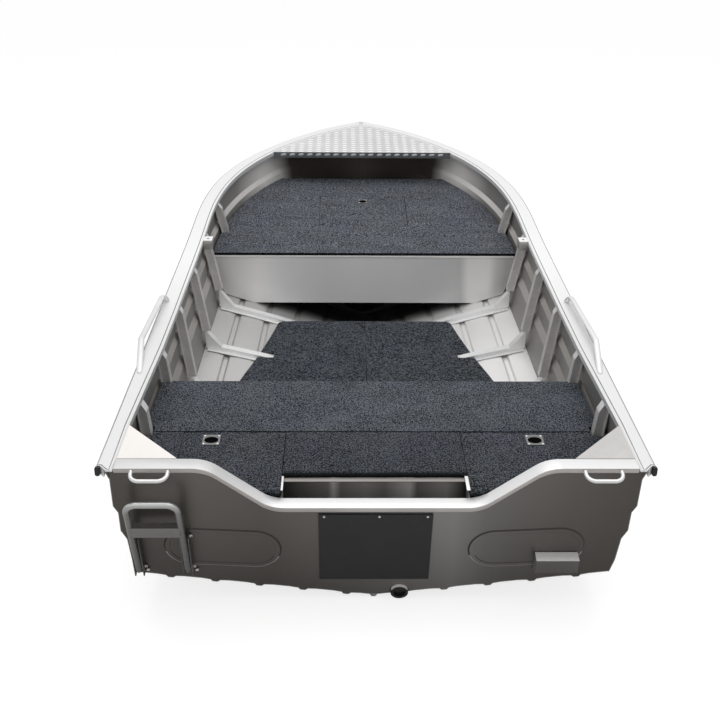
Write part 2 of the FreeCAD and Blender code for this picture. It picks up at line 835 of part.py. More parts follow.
# Plastic plugs that close the fenders' aft ends
PLUG_CORNER = 7
for way, side_name in SIDES:
    beam = size("hull_beam") / 2
    x_near = beam - size("plug_width")
    edges = rounded(min(way * x_near, way * beam), max(way * x_near, way * beam),
                    depth - size("fender_depth"), depth - 2, PLUG_CORNER)
    keep(pad("gunwale_plug_" + side_name, edges, across(PLUG_STATION - gap), "Sizes.sheet_wall * 3"),
         "gunwale_plug_" + side_name)


# Foredeck
def inner_edge(start, inset, count, x_clear=0):
    """Points in plan along a line inside the gunwale from a station to the nose."""
    last = nose_station(inset)
    points = []
    for index in range(count + 1):
        station = start + (last - start) * (1 - (1 - index / count) ** 1.6)
        edge = inside_outline(station, inset)
        points.append(Vector(max(edge.x - x_clear, 0), edge.y, 0))
    points[-1].x = 0
    return points


def foredeck():
    wall = size("sheet_wall")
    inset = size("gunwale_width") + gap
    aft = size("foredeck_aft")
    low = aft - 200
    high = length
    for _ in range(40):
        middle = (low + high) / 2
        if inside_outline(middle, inset).y < aft:
            low = middle
        else:
            high = middle
    points = inner_edge(low, inset, 8)
    points[0].y = aft
    curve = Part.BSplineCurve()
    curve.interpolate(points)
    other = Part.BSplineCurve()
    other.interpolate([Vector(-point.x, point.y, 0) for point in points])
    back = Part.LineSegment(Vector(-points[0].x, aft, 0), Vector(points[0].x, aft, 0))
    face = Part.Face(Part.Wire([back.toShape(), curve.toShape(), other.toShape()]))
    plate = face.extrude(Vector(0, 0, wall))
    lip = Part.makeBox(2 * points[0].x - 8, wall, size("foredeck_lip"),
                       Vector(-points[0].x + 4, aft, wall - size("foredeck_lip")))
    plate = plate.fuse(lip).removeSplitter()
    slope = math.degrees(math.atan((sheer(points[-1].y) - sheer(aft)) / (points[-1].y - aft)))
    turn = Rotation(Vector(1, 0, 0), slope)
    pivot = Vector(0, aft, 0)
    plate.Placement = Placement(pivot + Vector(0, 0, sheer(aft) - wall) - turn.multVec(pivot), turn)
    return plate


feature("foredeck", foredeck())


# Corner knees, flat triangles on top of the gunwales and the transom's cap
KNEE_EDGE = 61
KNEE_START = 22
KNEE_TAPER = 7
for way, side_name in SIDES:
    outer = size("hull_beam") / 2 - KNEE_EDGE
    front = size("knee_length") + KNEE_START
    corners = [(way * outer, KNEE_START), (way * (outer - KNEE_TAPER), front),
               (way * (outer - size("knee_width")), KNEE_START + 30)]
    keep(pad("knee_" + side_name, polygon(corners), level(sheer(front) + gap), "Sizes.sheet_wall"),
         "knee_" + side_name)


# Frames
FRAME_COUNT = 7
frame_spacing = (length - size("frame_last") - size("frame_first")) / (FRAME_COUNT - 1)
frame_stations = [size("frame_first") + frame_spacing * index for index in range(FRAME_COUNT)]
WEDGE_INSET = 78
FRAME_END = 6
RISER_INSET = 12
riser_station = size("seat_front") - RISER_INSET
floor_under = size("floor_height") - size("floor_wall")


def bottom_under(aft_station, fore_station):
    """Line (x, z) that clears the bottom plate under a piece between two stations."""
    aft = inner_bottom(aft_station, gap)
    fore = inner_bottom(fore_station, gap)
    reach = min(aft[-1][0], fore[-1][0])
    line = []
    for x, z in inner_bottom((aft_station + fore_station) / 2, gap):
        x = min(x, reach)
        line.append((x, max(z, between(aft, x, 0), between(fore, x, 0))))
    return line


def foot_room(station, foot):
    """Width of a frame's aft foot flange, less where the seat's riser stands close behind it."""
    edge = station - size("frame_width") / 2
    riser = riser_station + size("sheet_wall") + gap
    if riser < edge < riser + foot:
        return edge - riser
    return foot


def under_floor(station):
    return size("seat_front") < station + size("frame_width") and station < size("floor_front")


def frame_crest(low, station, rise):
    """Top line (x, z) of a bottom frame from its wedge end to the centreline: parallel to the plate,
    and level where it carries the floor."""
    top_x = low[-1][0] - WEDGE_INSET
    crest = [(top_x, between(low, top_x, 0) + rise)]
    level_z = floor_under - gap
    for x, z in low[::-1]:
        if x < top_x - FRAME_END:
            if under_floor(station) and z + rise < level_z:
                crest.append((between(low, level_z - rise, 1), level_z))
                crest.append((0, level_z))
                return crest
            crest.append((max(x, 0), z + rise))
    return crest


def bottom_frame(station):
    """A folded rib across the bottom: a channel with foot flanges and gusset ends at the chines."""
    wide = size("frame_width")
    wall = size("sheet_wall")
    web_only = station > stem_foot
    low = bottom_under(station, station + wall) if web_only else bottom_under(station - wide / 2,
                                                                              station + wide / 2)
    corner = low[-1]
    tip = corner[0] - FRAME_END
    rise = size("bow_web_rise") if web_only else size("frame_rise")
    base = [(max(x, 0), z) for x, z in low if x < tip - FRAME_END]
    base.append((tip, between(low, tip, 0) + 2))
    right = base + [(tip, corner[1] + size("gusset_size"))] + frame_crest(low, station, rise)
    outline = right + [(-x, z) for x, z in right[::-1] if x > gap]
    if web_only:
        return across_sheet(outline, station, wall)
    rib = channel(outline, station, wide, wall)
    aft = station - wide / 2
    fore = station + wide / 2
    rib = rib.fuse([foot_flange(aft - foot_room(station, size("frame_foot")), aft + wall, tip),
                    foot_flange(fore - wall, fore + size("frame_foot"), tip)])
    return rib.removeSplitter()


def foot_flange(aft_station, fore_station, tip):
    """A strip lying just above the bottom plate."""
    low = bottom_under(aft_station, fore_station)
    base = [(max(x, 0), z) for x, z in low if x < tip - FRAME_END]
    end = min(tip, low[-1][0]) - FRAME_END
    base.append((end, between(low, end, 0) + 1))
    right = base + [(x, z + size("sheet_wall")) for x, z in base[::-1]]
    outline = right + [(-x, z) for x, z in right[::-1] if x > gap]
    face = Part.Face(Part.makePolygon([Vector(x, aft_station, z) for x, z in outline + outline[:1]]))
    return face.extrude(Vector(0, fore_station - aft_station, 0))


def channel(outline, station, wide, wall):
    """Extrude an outline across the hull and hollow it from below, leaving top and two webs."""
    face = Part.Face(Part.makePolygon([Vector(x, 0, z) for x, z in outline + outline[:1]]))
    block = face.extrude(Vector(0, wide, 0))
    hollow = face.extrude(Vector(0, wide - 2 * wall, 0))
    hollow.translate(Vector(0, wall, -wall))
    block = block.cut(hollow)
    block.translate(Vector(0, station - wide / 2, 0))
    return block


def across_sheet(outline, station, wall):
    face = Part.Face(Part.makePolygon([Vector(x, station, z) for x, z in outline + outline[:1]]))
    return face.extrude(Vector(0, wall, 0))


for index, station in enumerate(frame_stations, start=1):
    feature("bottom_frame_%d" % index, bottom_frame(station))

TAB_DROP = 34
TAB_IN = 15


def side_frame(station):
    """A folded rib on the side plate, bevelled at its head where it passes under the gunwale's lip."""
    wide = size("frame_width")
    wall = size("sheet_wall")
    deep = size("frame_depth")
    foot = size("side_foot")
    lines = [inner_side(station + offset, 7) for offset in (-wide / 2 - foot, wide / 2 + foot)]
    line = [(min(a[0], b[0]), a[1]) for a, b in zip(*lines)]
    chine_z = inner_bottom(station, gap)[-1][1]
    low_z = chine_z + size("gusset_size") + 2 + gap
    high_z = sheer(station) - size("lip_depth") - 2
    outer = [(between(line, low_z, 1), low_z), (between(line, high_z, 1), high_z)]
    lean = (outer[1][0] - outer[0][0]) / (high_z - low_z)
    shoulder_in = outer[1][0] - lean * TAB_DROP - deep
    inner = [(outer[1][0] - deep + TAB_IN, high_z), (shoulder_in, high_z - TAB_DROP),
             (outer[0][0] - deep, low_z)]
    face = Part.Face(Part.makePolygon([Vector(x, 0, z) for x, z in outer + inner + outer[:1]]))
    block = face.extrude(Vector(0, wide, 0))
    hollow = face.extrude(Vector(0, wide - 2 * wall, 0))
    hollow.translate(Vector(wall, wall, 0))
    block = block.cut(hollow)
    strip = [outer[0], outer[1], (outer[1][0] - wall, high_z), (outer[0][0] - wall, low_z)]
    aft_foot = foot_room(station, foot)
    for start, reach in ((-aft_foot, aft_foot + wall), (wide - wall, foot + wall)):
        foot_face = Part.Face(Part.makePolygon([Vector(x, start, z) for x, z in strip + strip[:1]]))
        block = block.fuse(foot_face.extrude(Vector(0, reach, 0)))
    block = block.removeSplitter()
    block.translate(Vector(0, station - wide / 2, 0))
    return block


side_stations = frame_stations[:-1]
side_frames = Part.makeCompound([side_frame(station) for station in side_stations])
both_sides("side_frames", side_frames)


# Floor
NOTCH_CLEAR = 6
FLOOR_CORNER = 24


def floor_half():
    """Floor board of one side, notched round the frames."""
    under = floor_under
    aft = riser_station + size("sheet_wall") + gap
    front = size("floor_front")
    notch = size("frame_width") / 2 + NOTCH_CLEAR
    edge = []
    samples = 8
    for index in range(samples + 1):
        station = aft + (front - FLOOR_CORNER - aft) * index / samples
        reach = between(inner_bottom(station, 3), under, 1) - 4
        edge.append(Vector(min(reach, size("floor_beam") / 2), station, 0))
    curve = Part.BSplineCurve()
    curve.interpolate(edge)
    bevel = Vector(edge[-1].x - FLOOR_CORNER, front, 0)
    wire = Part.Wire([Part.LineSegment(Vector(2, aft, 0), edge[0]).toShape(), curve.toShape(),
                      Part.LineSegment(edge[-1], bevel).toShape(),
                      Part.LineSegment(bevel, Vector(2, front, 0)).toShape(),
                      Part.LineSegment(Vector(2, front, 0), Vector(2, aft, 0)).toShape()])
    board = Part.Face(wire).extrude(Vector(0, 0, size("floor_wall")))
    for station in frame_stations:
        if aft < station < front + notch:
            low = bottom_under(station - notch, station + notch)
            tip = between(low, under - size("frame_rise") - gap, 1) - 1.5 * NOTCH_CLEAR
            box = Part.makeBox(size("floor_beam"), 2 * notch, 3 * size("floor_wall"),
                               Vector(tip, station - notch, -size("floor_wall")))
            board = board.cut(box)
    board.translate(Vector(0, 0, under))
    return board


both_sides("floor", floor_half())


# Stern seat and side boxes
seat_top = size("seat_height")
seat_under = seat_top - size("seat_wall")
lid_gap = size("seam_gap")


def hull_edge(station, height, clear):
    return between(inner_side(station, clear + 7), height, 1)


def seat_board():
    aft = size("seat_seam") + lid_gap / 2
    front = size("seat_front")
    right = [Vector(hull_edge(aft, seat_under, 3), aft, seat_under),
             Vector(hull_edge(front, seat_under, 3), front, seat_under)]
    left = [Vector(-point.x, point.y, point.z) for point in right[::-1]]
    points = right + left
    board = Part.Face(Part.makePolygon(points + points[:1])).extrude(Vector(0, 0, size("seat_wall")))
    for station in frame_stations:
        if aft - 30 < station < front + 30:
            board = notch_for_frame(board, station, seat_under, size("seat_wall"))
    return board


def notch_for_frame(board, station, under, wall):
    wide = size("frame_width") + 2 * (size("side_foot") + 2)
    edge = hull_edge(station, under, 0) - size("frame_depth") - NOTCH_CLEAR
    for way in (1, -1):
        corner = Vector(edge if way > 0 else -edge - 200, station - wide / 2, under - wall)
        board = board.cut(Part.makeBox(200, wide, 3 * wall, corner))
    return board


feature("seat_top", seat_board())


RISER_FOOT = 30


def across_panel(station, low_z, high_z, clear=2):
    """A flat panel across the hull, one wall thick, its aft face at the station."""
    return across_sheet(bulkhead(station, low_z, high_z, clear), station, size("sheet_wall"))


feature("seat_riser", across_panel(riser_station, RISER_FOOT, seat_under - gap))


hinge_station = size("hatch_hinge_station")
hinge_height = seat_top
HINGE_RADIUS = 4
HINGE_LEAF = 10
LEDGE_SHORT = 12
FLANGE_WIDTH = 34


def cap_front(height):
    """Station of the transom cap's forward face at this height, with a little clearance."""
    return transom_station(height) + size("cap_width") - CAP_PROUD + 1


def box_wall():
    """Inner wall of a side box: a fore-and-aft panel, lower under the transom's cap, with a folded
    top that carries the lid."""
    wall = size("sheet_wall")
    inner = size("hatch_inner")
    step_z = depth - size("cut_drop") - size("cap_depth") - 2
    step_y = cap_front(step_z)
    aft = transom_station(step_z) + wall + gap + 1
    front = riser_station - gap
    low = []
    for index in range(5):
        station = aft + (front - aft) * index / 4
        height = between(inner_bottom(station, 3), inner, 0) + 3
        low.append(Vector(inner - wall, station, height))
    low[0].y = transom_station(low[0].z) + wall + gap + 1
    top = seat_under - gap
    upper = [(front, top), (step_y, top), (step_y, step_z), (aft, step_z)]
    outline = low + [Vector(inner - wall, y, z) for y, z in upper]
    panel = Part.Face(Part.makePolygon(outline + outline[:1])).extrude(Vector(wall, 0, 0))
    flange = Part.makeBox(FLANGE_WIDTH, front - size("well_front"), wall,
                          Vector(inner - wall / 2 - FLANGE_WIDTH / 2, size("well_front"), top - wall))
    ledge_aft = cap_front(top - wall)
    ledge_end = hinge_station - HINGE_RADIUS - HINGE_LEAF - gap
    ledge_out = hull_edge(ledge_aft, top - wall, 3) - LEDGE_SHORT
    ledge = Part.makeBox(ledge_out - inner, ledge_end - ledge_aft, wall,
                         Vector(inner - wall, ledge_aft, top - wall))
    half = size("frame_width") / 2 + size("frame_foot") + 2
    for station in frame_stations:
        if station - half < front:
            crest = between(bottom_under(station - half, station + half), inner, 0) + size("frame_rise")
            corner = Vector(inner - 2 * wall, station - half, 0)
            panel = panel.cut(Part.makeBox(3 * wall, 2 * half, crest + 2, corner))
    return panel.fuse([flange, ledge])


both_sides("box_wall", box_wall())


def well_wall():
    wall = size("sheet_wall")
    inner = size("hatch_inner") - wall - gap
    station = size("well_front") - wall - gap
    low = between(inner_bottom(station, 3), inner, 0) + 3
    points = [Vector(-inner, station, low), Vector(0, station, size("keel_bar_depth") + 12),
              Vector(inner, station, low), Vector(inner, station, seat_top),
              Vector(-inner, station, seat_top)]
    return Part.Face(Part.makePolygon(points + points[:1])).extrude(Vector(0, wall, 0))


feature("well_wall", well_wall())


def centre_board():
    inner = size("hatch_inner") - lid_gap / 2
    aft = size("well_front") + gap
    front = size("seat_seam") - lid_gap / 2
    return Part.makeBox(2 * inner, front - aft, size("seat_wall"), Vector(-inner, aft, seat_under))


feature("seat_centre", centre_board())


def side_board():
    """Fixed board round a stern hatch, against the hull and behind the hinge."""
    aft = transom_station(seat_top) + size("cap_width") + 8
    front = size("seat_seam") - lid_gap / 2
    outer = [Vector(hull_edge(station, seat_under, 3), station, 0) for station in (front, aft)]
    lid_edge = size("hatch_outer") + lid_gap
    back = hinge_station - HINGE_RADIUS - 1
    points = [Vector(lid_edge, front, 0)] + outer
    points += [Vector(size("hatch_inner") + lid_gap / 2, aft, 0),
               Vector(size("hatch_inner") + lid_gap / 2, back, 0), Vector(lid_edge, back, 0)]
    board = Part.Face(Part.makePolygon(points + points[:1])).extrude(Vector(0, 0, size("seat_wall")))
    board.translate(Vector(0, 0, seat_under))
    for station in side_stations:
        if aft - size("frame_width") < station < front + size("frame_width"):
            board = notch_for_frame(board, station, seat_under, size("seat_wall"))
    return board


both_sides("side_board", side_board())


def stern_lid():
    inner = size("hatch_inner") + lid_gap / 2
    outer = size("hatch_outer")
    front = size("seat_seam") - lid_gap
    aft = hinge_station + HINGE_RADIUS + 1
    return Part.makeBox(outer - inner, front - aft, size("seat_wall"), Vector(inner, aft, seat_under))


both_sides("stern_lid", stern_lid())


def stern_hinge():
    inner = size("hatch_inner") + 20
    outer = size("hatch_outer") - 20
    rod = Part.makeCylinder(HINGE_RADIUS, outer - inner, Vector(inner, hinge_station, hinge_height),
                            Vector(1, 0, 0))
    leaf = Part.makeBox(outer - inner, HINGE_LEAF, 2,
                        Vector(inner, hinge_station - HINGE_LEAF - HINGE_RADIUS, seat_under - 2 - gap))
    web = Part.makeBox(outer - inner, 2, hinge_height - seat_under + 2 + gap,
                       Vector(inner, hinge_station - 1, seat_under - 2 - gap))
    foot = Part.makeBox(outer - inner, HINGE_RADIUS + 2, 2,
                        Vector(inner, hinge_station - HINGE_RADIUS - 1, seat_under - 2 - gap))
    return rod.fuse([leaf, web, foot]).removeSplitter()


both_sides("stern_hinge", stern_hinge())


LATCH_CORNER = 10
LATCH_RING = 44


def latch(label, x, y, place):
    """Flush latch: a plate with a ring recess, on top of a lid."""
    half_wide = size("latch_width") / 2
    half_long = size("latch_length") / 2
    outline = rounded(x - half_wide, x + half_wide, y - half_long, y + half_long, LATCH_CORNER)
    body = pad(label, outline, place, "Sizes.sheet_wall")
    top = place.multiply(level(size("sheet_wall")))
    pocket(body, label + "_recess", ring(x, y, LATCH_RING), top, "Sizes.sheet_wall / 2")
    return keep(body, label)


for way, side_name in SIDES:
    latch("latch_" + side_name, way * size("latch_offset"), size("seat_seam") - size("latch_inset"),
          level(seat_top + gap))


# Bow deck
deck_aft = size("bow_deck_aft")
deck_slope = math.degrees(math.atan(size("bow_deck_slope")))
deck_wall = size("seat_wall")


def deck_height(station):
    return size("bow_deck_height") + (station - deck_aft) * size("bow_deck_slope")


def on_bow_deck(drop):
    """Plane of the bow deck, this far below its top; outline y is the station."""
    turn = Rotation(Vector(1, 0, 0), deck_slope)
    pivot = Vector(0, deck_aft, 0)
    lift = Vector(0, 0, size("bow_deck_height"))
    place = Placement(pivot + lift - turn.multVec(pivot), turn)
    return place.multiply(Placement(Vector(0, 0, -drop), Rotation()))


def bow_deck():
    front = size("bow_deck_front")
    half_hatch = size("bow_hatch_width") / 2 + lid_gap
    samples = 9
    edge = []
    for index in range(samples + 1):
        station = deck_aft + (front - deck_aft) * index / samples
        edge.append(Vector(hull_edge(station, deck_height(station) - deck_wall, 2), station, 0))
    right = Part.BSplineCurve()
    right.interpolate(edge)
    left = Part.BSplineCurve()
    left.interpolate([Vector(-point.x, point.y, 0) for point in edge])
    aft = Part.LineSegment(Vector(-edge[0].x, deck_aft, 0), edge[0])
    fore = Part.LineSegment(Vector(-edge[-1].x, front, 0), edge[-1])
    wire = Part.Wire([aft.toShape(), right.toShape(), fore.toShape(), left.toShape()])
    board = Part.Face(wire).extrude(Vector(0, 0, deck_wall))
    hole = Part.makeBox(2 * half_hatch, size("bow_hatch_front") - size("bow_hatch_aft") + lid_gap,
                        3 * deck_wall,
                        Vector(-half_hatch, size("bow_hatch_aft"), -deck_wall))
    board = board.cut(hole)
    board.Placement = on_bow_deck(deck_wall)
    for station in side_stations:
        if deck_aft - 30 < station < front + 30:
            under = deck_height(station) - deck_wall
            board = notch_for_frame(board, station, under, deck_wall)
    return board


feature("bow_deck", bow_deck())


COAMING_OUT = 28
COAMING_IN = 16


def bow_coaming():
    """Folded support under the edges of the bow hatch."""
    half = size("bow_hatch_width") / 2
    aft = size("bow_hatch_aft")
    front = size("bow_hatch_front")
    wall = size("sheet_wall")
    out = COAMING_OUT
    within = COAMING_IN
    outer = Part.makeBox(2 * (half + out), front - aft + 2 * out, wall, Vector(-half - out, aft - out, 0))
    inner = Part.makeBox(2 * (half - within), front - aft - 2 * within, 3 * wall,
                         Vector(-half + within, aft + within, -wall))
    frame = outer.cut(inner)
    frame.Placement = on_bow_deck(deck_wall + wall + gap)
    return frame


feature("bow_coaming", bow_coaming())


def bow_lid():
    half = size("bow_hatch_width") / 2
    aft = size("bow_hatch_aft") + 2 * HINGE_RADIUS + 2
    lid = Part.makeBox(2 * half, size("bow_hatch_front") - aft, deck_wall, Vector(-half, aft, 0))
    lid.Placement = on_bow_deck(deck_wall)
    return lid


feature("bow_lid", bow_lid())


def bow_hinge():
    half = size("bow_hatch_width") / 2 - 20
    aft = size("bow_hatch_aft") + HINGE_RADIUS + 1
    rod = Part.makeCylinder(HINGE_RADIUS, 2 * half, Vector(-half, aft, deck_wall), Vector(1, 0, 0))
    web = Part.makeBox(2 * half, 2, deck_wall, Vector(-half, aft - 1, 0))
    hinge = rod.fuse(web).removeSplitter()
    hinge.Placement = on_bow_deck(deck_wall)
    return hinge


feature("bow_hinge", bow_hinge())
latch("latch_bow", 0, size("bow_hatch_front") - size("bow_latch_inset"), on_bow_deck(-gap))


riser_top = size("bow_deck_height") - deck_wall - gap
feature("bow_riser", across_panel(deck_aft, size("riser_foot"), riser_top, 3 * gap))


# Motor pads
def pad_edges(half, low, high):
    return rectangle(-half, half, up_transom(low), up_transom(high))


half_pad = size("pad_width") / 2
keep(pad("motor_pad", pad_edges(half_pad, size("pad_bottom"), size("pad_top")), on_transom(gap),
         "Sizes.pad_wall"), "motor_pad")
inside_place = on_transom(-size("pad_inside_wall") - size("sheet_wall"))
keep(pad("motor_pad_inside", pad_edges(half_pad, size("pad_inside_bottom"), size("pad_inside_top")),
         inside_place, "Sizes.pad_inside_wall - Sizes.fit_gap"), "motor_pad_inside")


# Boarding ladder
def ladder_point(x, height, out):
    return on_transom().multVec(Vector(x, up_transom(height), out))


pivot_height = size("ladder_pivot")
ladder_radius = size("ladder_tube") / 2
LADDER_LEAN = 36
LADDER_BEND = 38
LADDER_FOOT = 12


def ladder_frame():
    centre = -size("ladder_centre")
    half = size("ladder_pitch") / 2
    near = size("ladder_offset")
    far = near + LADDER_LEAN
    foot = pivot_height - LADDER_FOOT
    top = size("ladder_top")
    corners = [ladder_point(centre - half, foot, near), ladder_point(centre - half, top, far),
               ladder_point(centre + half, top, far), ladder_point(centre + half, foot, near)]
    frame = tube(corners, ladder_radius, LADDER_BEND)
    low = size("tread_level")
    deep = size("tread_depth")
    tread_share = (low + size("tread_width") / 2 - foot) / (top - foot)
    tread_out = near + LADDER_LEAN * tread_share
    tread = Part.makeBox(2 * half - 4, up_transom(size("tread_width")), deep,
                         Vector(centre - half + 2, up_transom(low), tread_out - deep / 2))
    tread.Placement = on_transom()
    frame = frame.fuse(tread)
    bore = Part.makeCylinder(size("ladder_pin") / 2 + 0.5, 2 * half + 80,
                             ladder_point(centre - half - 40, pivot_height, near), Vector(1, 0, 0))
    return frame.cut(bore)


feature("ladder", ladder_frame())


def ladder_bracket():
    """Two channels on the transom, each with ears either side of a leg and a pivot pin."""
    centre = -size("ladder_centre")
    near = size("ladder_offset")
    clear = 1.5
    ear = 4
    past_pin = 8
    seat = OVAL_PROUD
    low = up_transom(size("bracket_bottom"))
    high = up_transom(size("bracket_top"))
    shapes = []
    for way in (-1, 1):
        x = centre + way * size("ladder_pitch") / 2
        inner = ladder_radius + clear
        base = Part.makeBox(2 * inner + 2 * ear, high - low, ear, Vector(x - inner - ear, low, seat))
        ears = [Part.makeBox(ear, high - low, near + past_pin - seat, Vector(start, low, seat))
                for start in (x - inner - ear, x + inner)]
        pin = Part.makeCylinder(size("ladder_pin") / 2, 2 * inner + 2 * ear,
                                Vector(x - inner - ear, up_transom(pivot_height), near),
                                Vector(1, 0, 0))
        shapes.append(base.fuse(ears + [pin]).removeSplitter())
    brackets = Part.makeCompound(shapes)
    brackets.Placement = on_transom()
    return brackets


feature("ladder_brackets", ladder_bracket())


# Transducer bracket, a folded plate at the starboard corner
def transducer_bracket():
    wall = size("sheet_wall")
    x = size("transducer_inner")
    wide = size("transducer_width")
    low = up_transom(size("transducer_bottom"))
    high = up_transom(size("transducer_top"))
    out = size("transducer_reach")
    front = size("transducer_face")
    start = OVAL_PROUD + gap
    back = Part.makeBox(wide, high - low, wall, Vector(x, low, start))
    top = Part.makeBox(wide, wall, out, Vector(x, high - wall, start))
    face = Part.makeBox(wide, front, wall, Vector(x, high - front, start + out - wall))
    shape = back.fuse([top, face]).removeSplitter()
    shape.Placement = on_transom()
    return shape


feature("transducer_bracket", transducer_bracket())


# Handles
TRANSOM_HANDLE_BEND = 30
SIDE_HANDLE_BEND = 36
SIDE_HANDLE_SLANT = 250


def transom_handle(way):
    radius = size("transom_handle_tube") / 2
    start = CAP_PROUD + gap
    reach = size("transom_handle_reach")
    height = up_transom(size("transom_handle_level"))
    near = way * size("transom_handle_inner")
    far = way * size("transom_handle_outer")
    corners = [Vector(near, height, start), Vector(near, height, start + reach),
               Vector(far, height, start + reach), Vector(far, height, start)]
    shape = tube(corners, radius, TRANSOM_HANDLE_BEND)
    shape.Placement = on_transom()
    return shape


feature("transom_handle_starboard", transom_handle(1))
feature("transom_handle_port", transom_handle(-1))


def side_handle():
    radius = size("handle_tube") / 2
    lift = size("handle_rise")
    aft = size("handle_aft")
    front = size("handle_front")

    def on_gunwale(station, inset, height):
        edge = inside_outline(station, inset)
        return Vector(edge.x, edge.y, sheer(station) + height)

    corners = [on_gunwale(front, 24, -radius), on_gunwale(front - 20, 8, lift),
               on_gunwale(aft + SIDE_HANDLE_SLANT, -6, lift), on_gunwale(aft, 26, -radius)]
    bar = tube(corners, radius, SIDE_HANDLE_BEND)
    reach = 130
    inside = size("hull_beam") / 2 - 2 * size("gunwale_width")
    for station in (front, aft):
        under = sheer(station + reach) + gap
        below = Part.makeBox(4 * reach, 2 * reach, reach, Vector(inside, station - reach, under - reach))
        bar = bar.cut(below)
    return bar


both_sides("side_handle", side_handle())


# Rowlock sockets inside the gunwale's lip
ROWLOCK_EDGE = 20
for way, side_name in SIDES:
    station = size("rowlock_station")
    half_long = size("rowlock_block") / 2
    lip = inside_outline(station + half_long, size("gunwale_width") + gap).x
    inner = lip - size("rowlock_depth")
    edges = rectangle(min(way * lip, way * inner), max(way * lip, way * inner),
                      station - half_long, station + half_long)
    top = sheer(station) - 3
    socket = pad("rowlock_socket_" + side_name, edges, level(top - size("rowlock_length")),
                 "Sizes.rowlock_length")
    bore = ring(way * (lip - ROWLOCK_EDGE), station, size("rowlock_bore"))
    pocket(socket, "rowlock_bore_" + side_name, bore, level(top), "Sizes.rowlock_length + 1")
    keep(socket, "rowlock_socket_" + side_name)

# Drain at the transom's foot
drain_x = size("drain_offset")
drain_y = up_transom(size("drain_level"))
drain = pad("drain_fitting", ring(drain_x, drain_y, size("drain_ring")), on_transom(gap),
            "Sizes.drain_proud")
pocket(drain, "drain_bore", ring(drain_x, drain_y, size("drain_bore")),
       on_transom(size("drain_proud") + gap), "Sizes.drain_proud - Sizes.sheet_wall")
keep(drain, "drain_fitting")


# Bow eye on the stem band
BOW_EYE_BEND = 14


def bow_eye():
    top = side_top(1, size("fender_width") + gap)
    rise = top - stem(1)
    up = Vector(0, rise.y, rise.z).normalize()
    out = Vector(0, up.z, -up.y)
    base = stem(1) + up * size("bow_eye_level") + out * (size("keel_bar_depth") / 2)
    half = size("bow_eye_height") / 2
    reach = size("bow_eye_reach") + size("keel_bar_depth") / 2
    corners = [base - up * half, base - up * half + out * reach, base + up * half + out * reach,
               base + up * half]
    eye = tube(corners, size("bow_eye_rod") / 2, BOW_EYE_BEND)
    seat = stem_band.copy()
    seat.translate(out * gap)
    return eye.cut(seat)


feature("bow_eye", bow_eye())

doc.recompute()
for item in doc.Objects:
    if "Invalid" in item.State or "Error" in item.State:
        raise RuntimeError("failed: %s %s" % (item.Label, item.State))
for item in nodes:
    shape = item.Shape
    if shape.isNull() or not shape.isValid():
        raise RuntimeError("bad shape: " + item.Label)
for item in nodes:
    item.Shape.exportStep("parts/%s.step" % item.Label)
print("%d pieces written" % len(nodes))
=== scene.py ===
import math

import bpy
from mathutils import Matrix, Vector


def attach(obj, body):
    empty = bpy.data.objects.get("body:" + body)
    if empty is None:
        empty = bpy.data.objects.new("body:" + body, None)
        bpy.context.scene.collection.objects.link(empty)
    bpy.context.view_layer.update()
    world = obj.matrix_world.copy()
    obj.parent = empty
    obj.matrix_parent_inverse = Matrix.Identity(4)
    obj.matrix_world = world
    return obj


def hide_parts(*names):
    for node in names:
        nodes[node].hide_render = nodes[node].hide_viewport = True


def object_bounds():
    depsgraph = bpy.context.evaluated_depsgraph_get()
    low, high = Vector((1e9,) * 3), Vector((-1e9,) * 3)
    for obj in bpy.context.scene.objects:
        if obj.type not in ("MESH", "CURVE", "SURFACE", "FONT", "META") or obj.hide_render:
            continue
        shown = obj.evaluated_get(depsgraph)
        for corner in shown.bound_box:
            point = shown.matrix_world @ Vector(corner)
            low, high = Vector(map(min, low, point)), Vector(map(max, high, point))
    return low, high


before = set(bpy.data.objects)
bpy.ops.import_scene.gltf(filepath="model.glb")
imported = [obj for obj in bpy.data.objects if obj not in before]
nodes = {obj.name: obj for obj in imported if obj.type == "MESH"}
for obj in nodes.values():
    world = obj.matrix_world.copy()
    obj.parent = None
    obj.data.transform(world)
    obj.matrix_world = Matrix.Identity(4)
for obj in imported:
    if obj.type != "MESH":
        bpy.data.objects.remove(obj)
cadLow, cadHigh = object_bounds()
ways = {"starboard": 1, "port": -1}  # which way along X each side lies
print("frame loaded:", len(nodes), "nodes")


def tint(red, green, blue):
    # a colour as it reads on screen, 0 to 255, made linear
    return tuple((c / 255) ** 2.2 for c in (red, green, blue)) + (1,)


def grey(level, warm=0):
    return tint(level + warm, level, level - warm)


black = (0, 0, 0, 1)
shaderSockets = {"colour": "Base Color", "metal": "Metallic", "rough": "Roughness", "normal": "Normal",
                 "specular": "Specular IOR Level"}


class Wire:  # a shader socket that takes part in sums
    def __init__(self, look, socket):
        self.look = look
        self.socket = socket

    def maths(self, operation, left, right):
        return self.look.add("ShaderNodeMath", {"operation": operation}, {0: left, 1: right})

    def __add__(self, other):
        return self.maths("ADD", self, other)

    def __radd__(self, other):
        return self.maths("ADD", other, self)

    def __sub__(self, other):
        return self.maths("SUBTRACT", self, other)

    def __rsub__(self, other):
        return self.maths("SUBTRACT", other, self)

    def __mul__(self, other):
        return self.maths("MULTIPLY", self, other)

    def __rmul__(self, other):
        return self.maths("MULTIPLY", other, self)


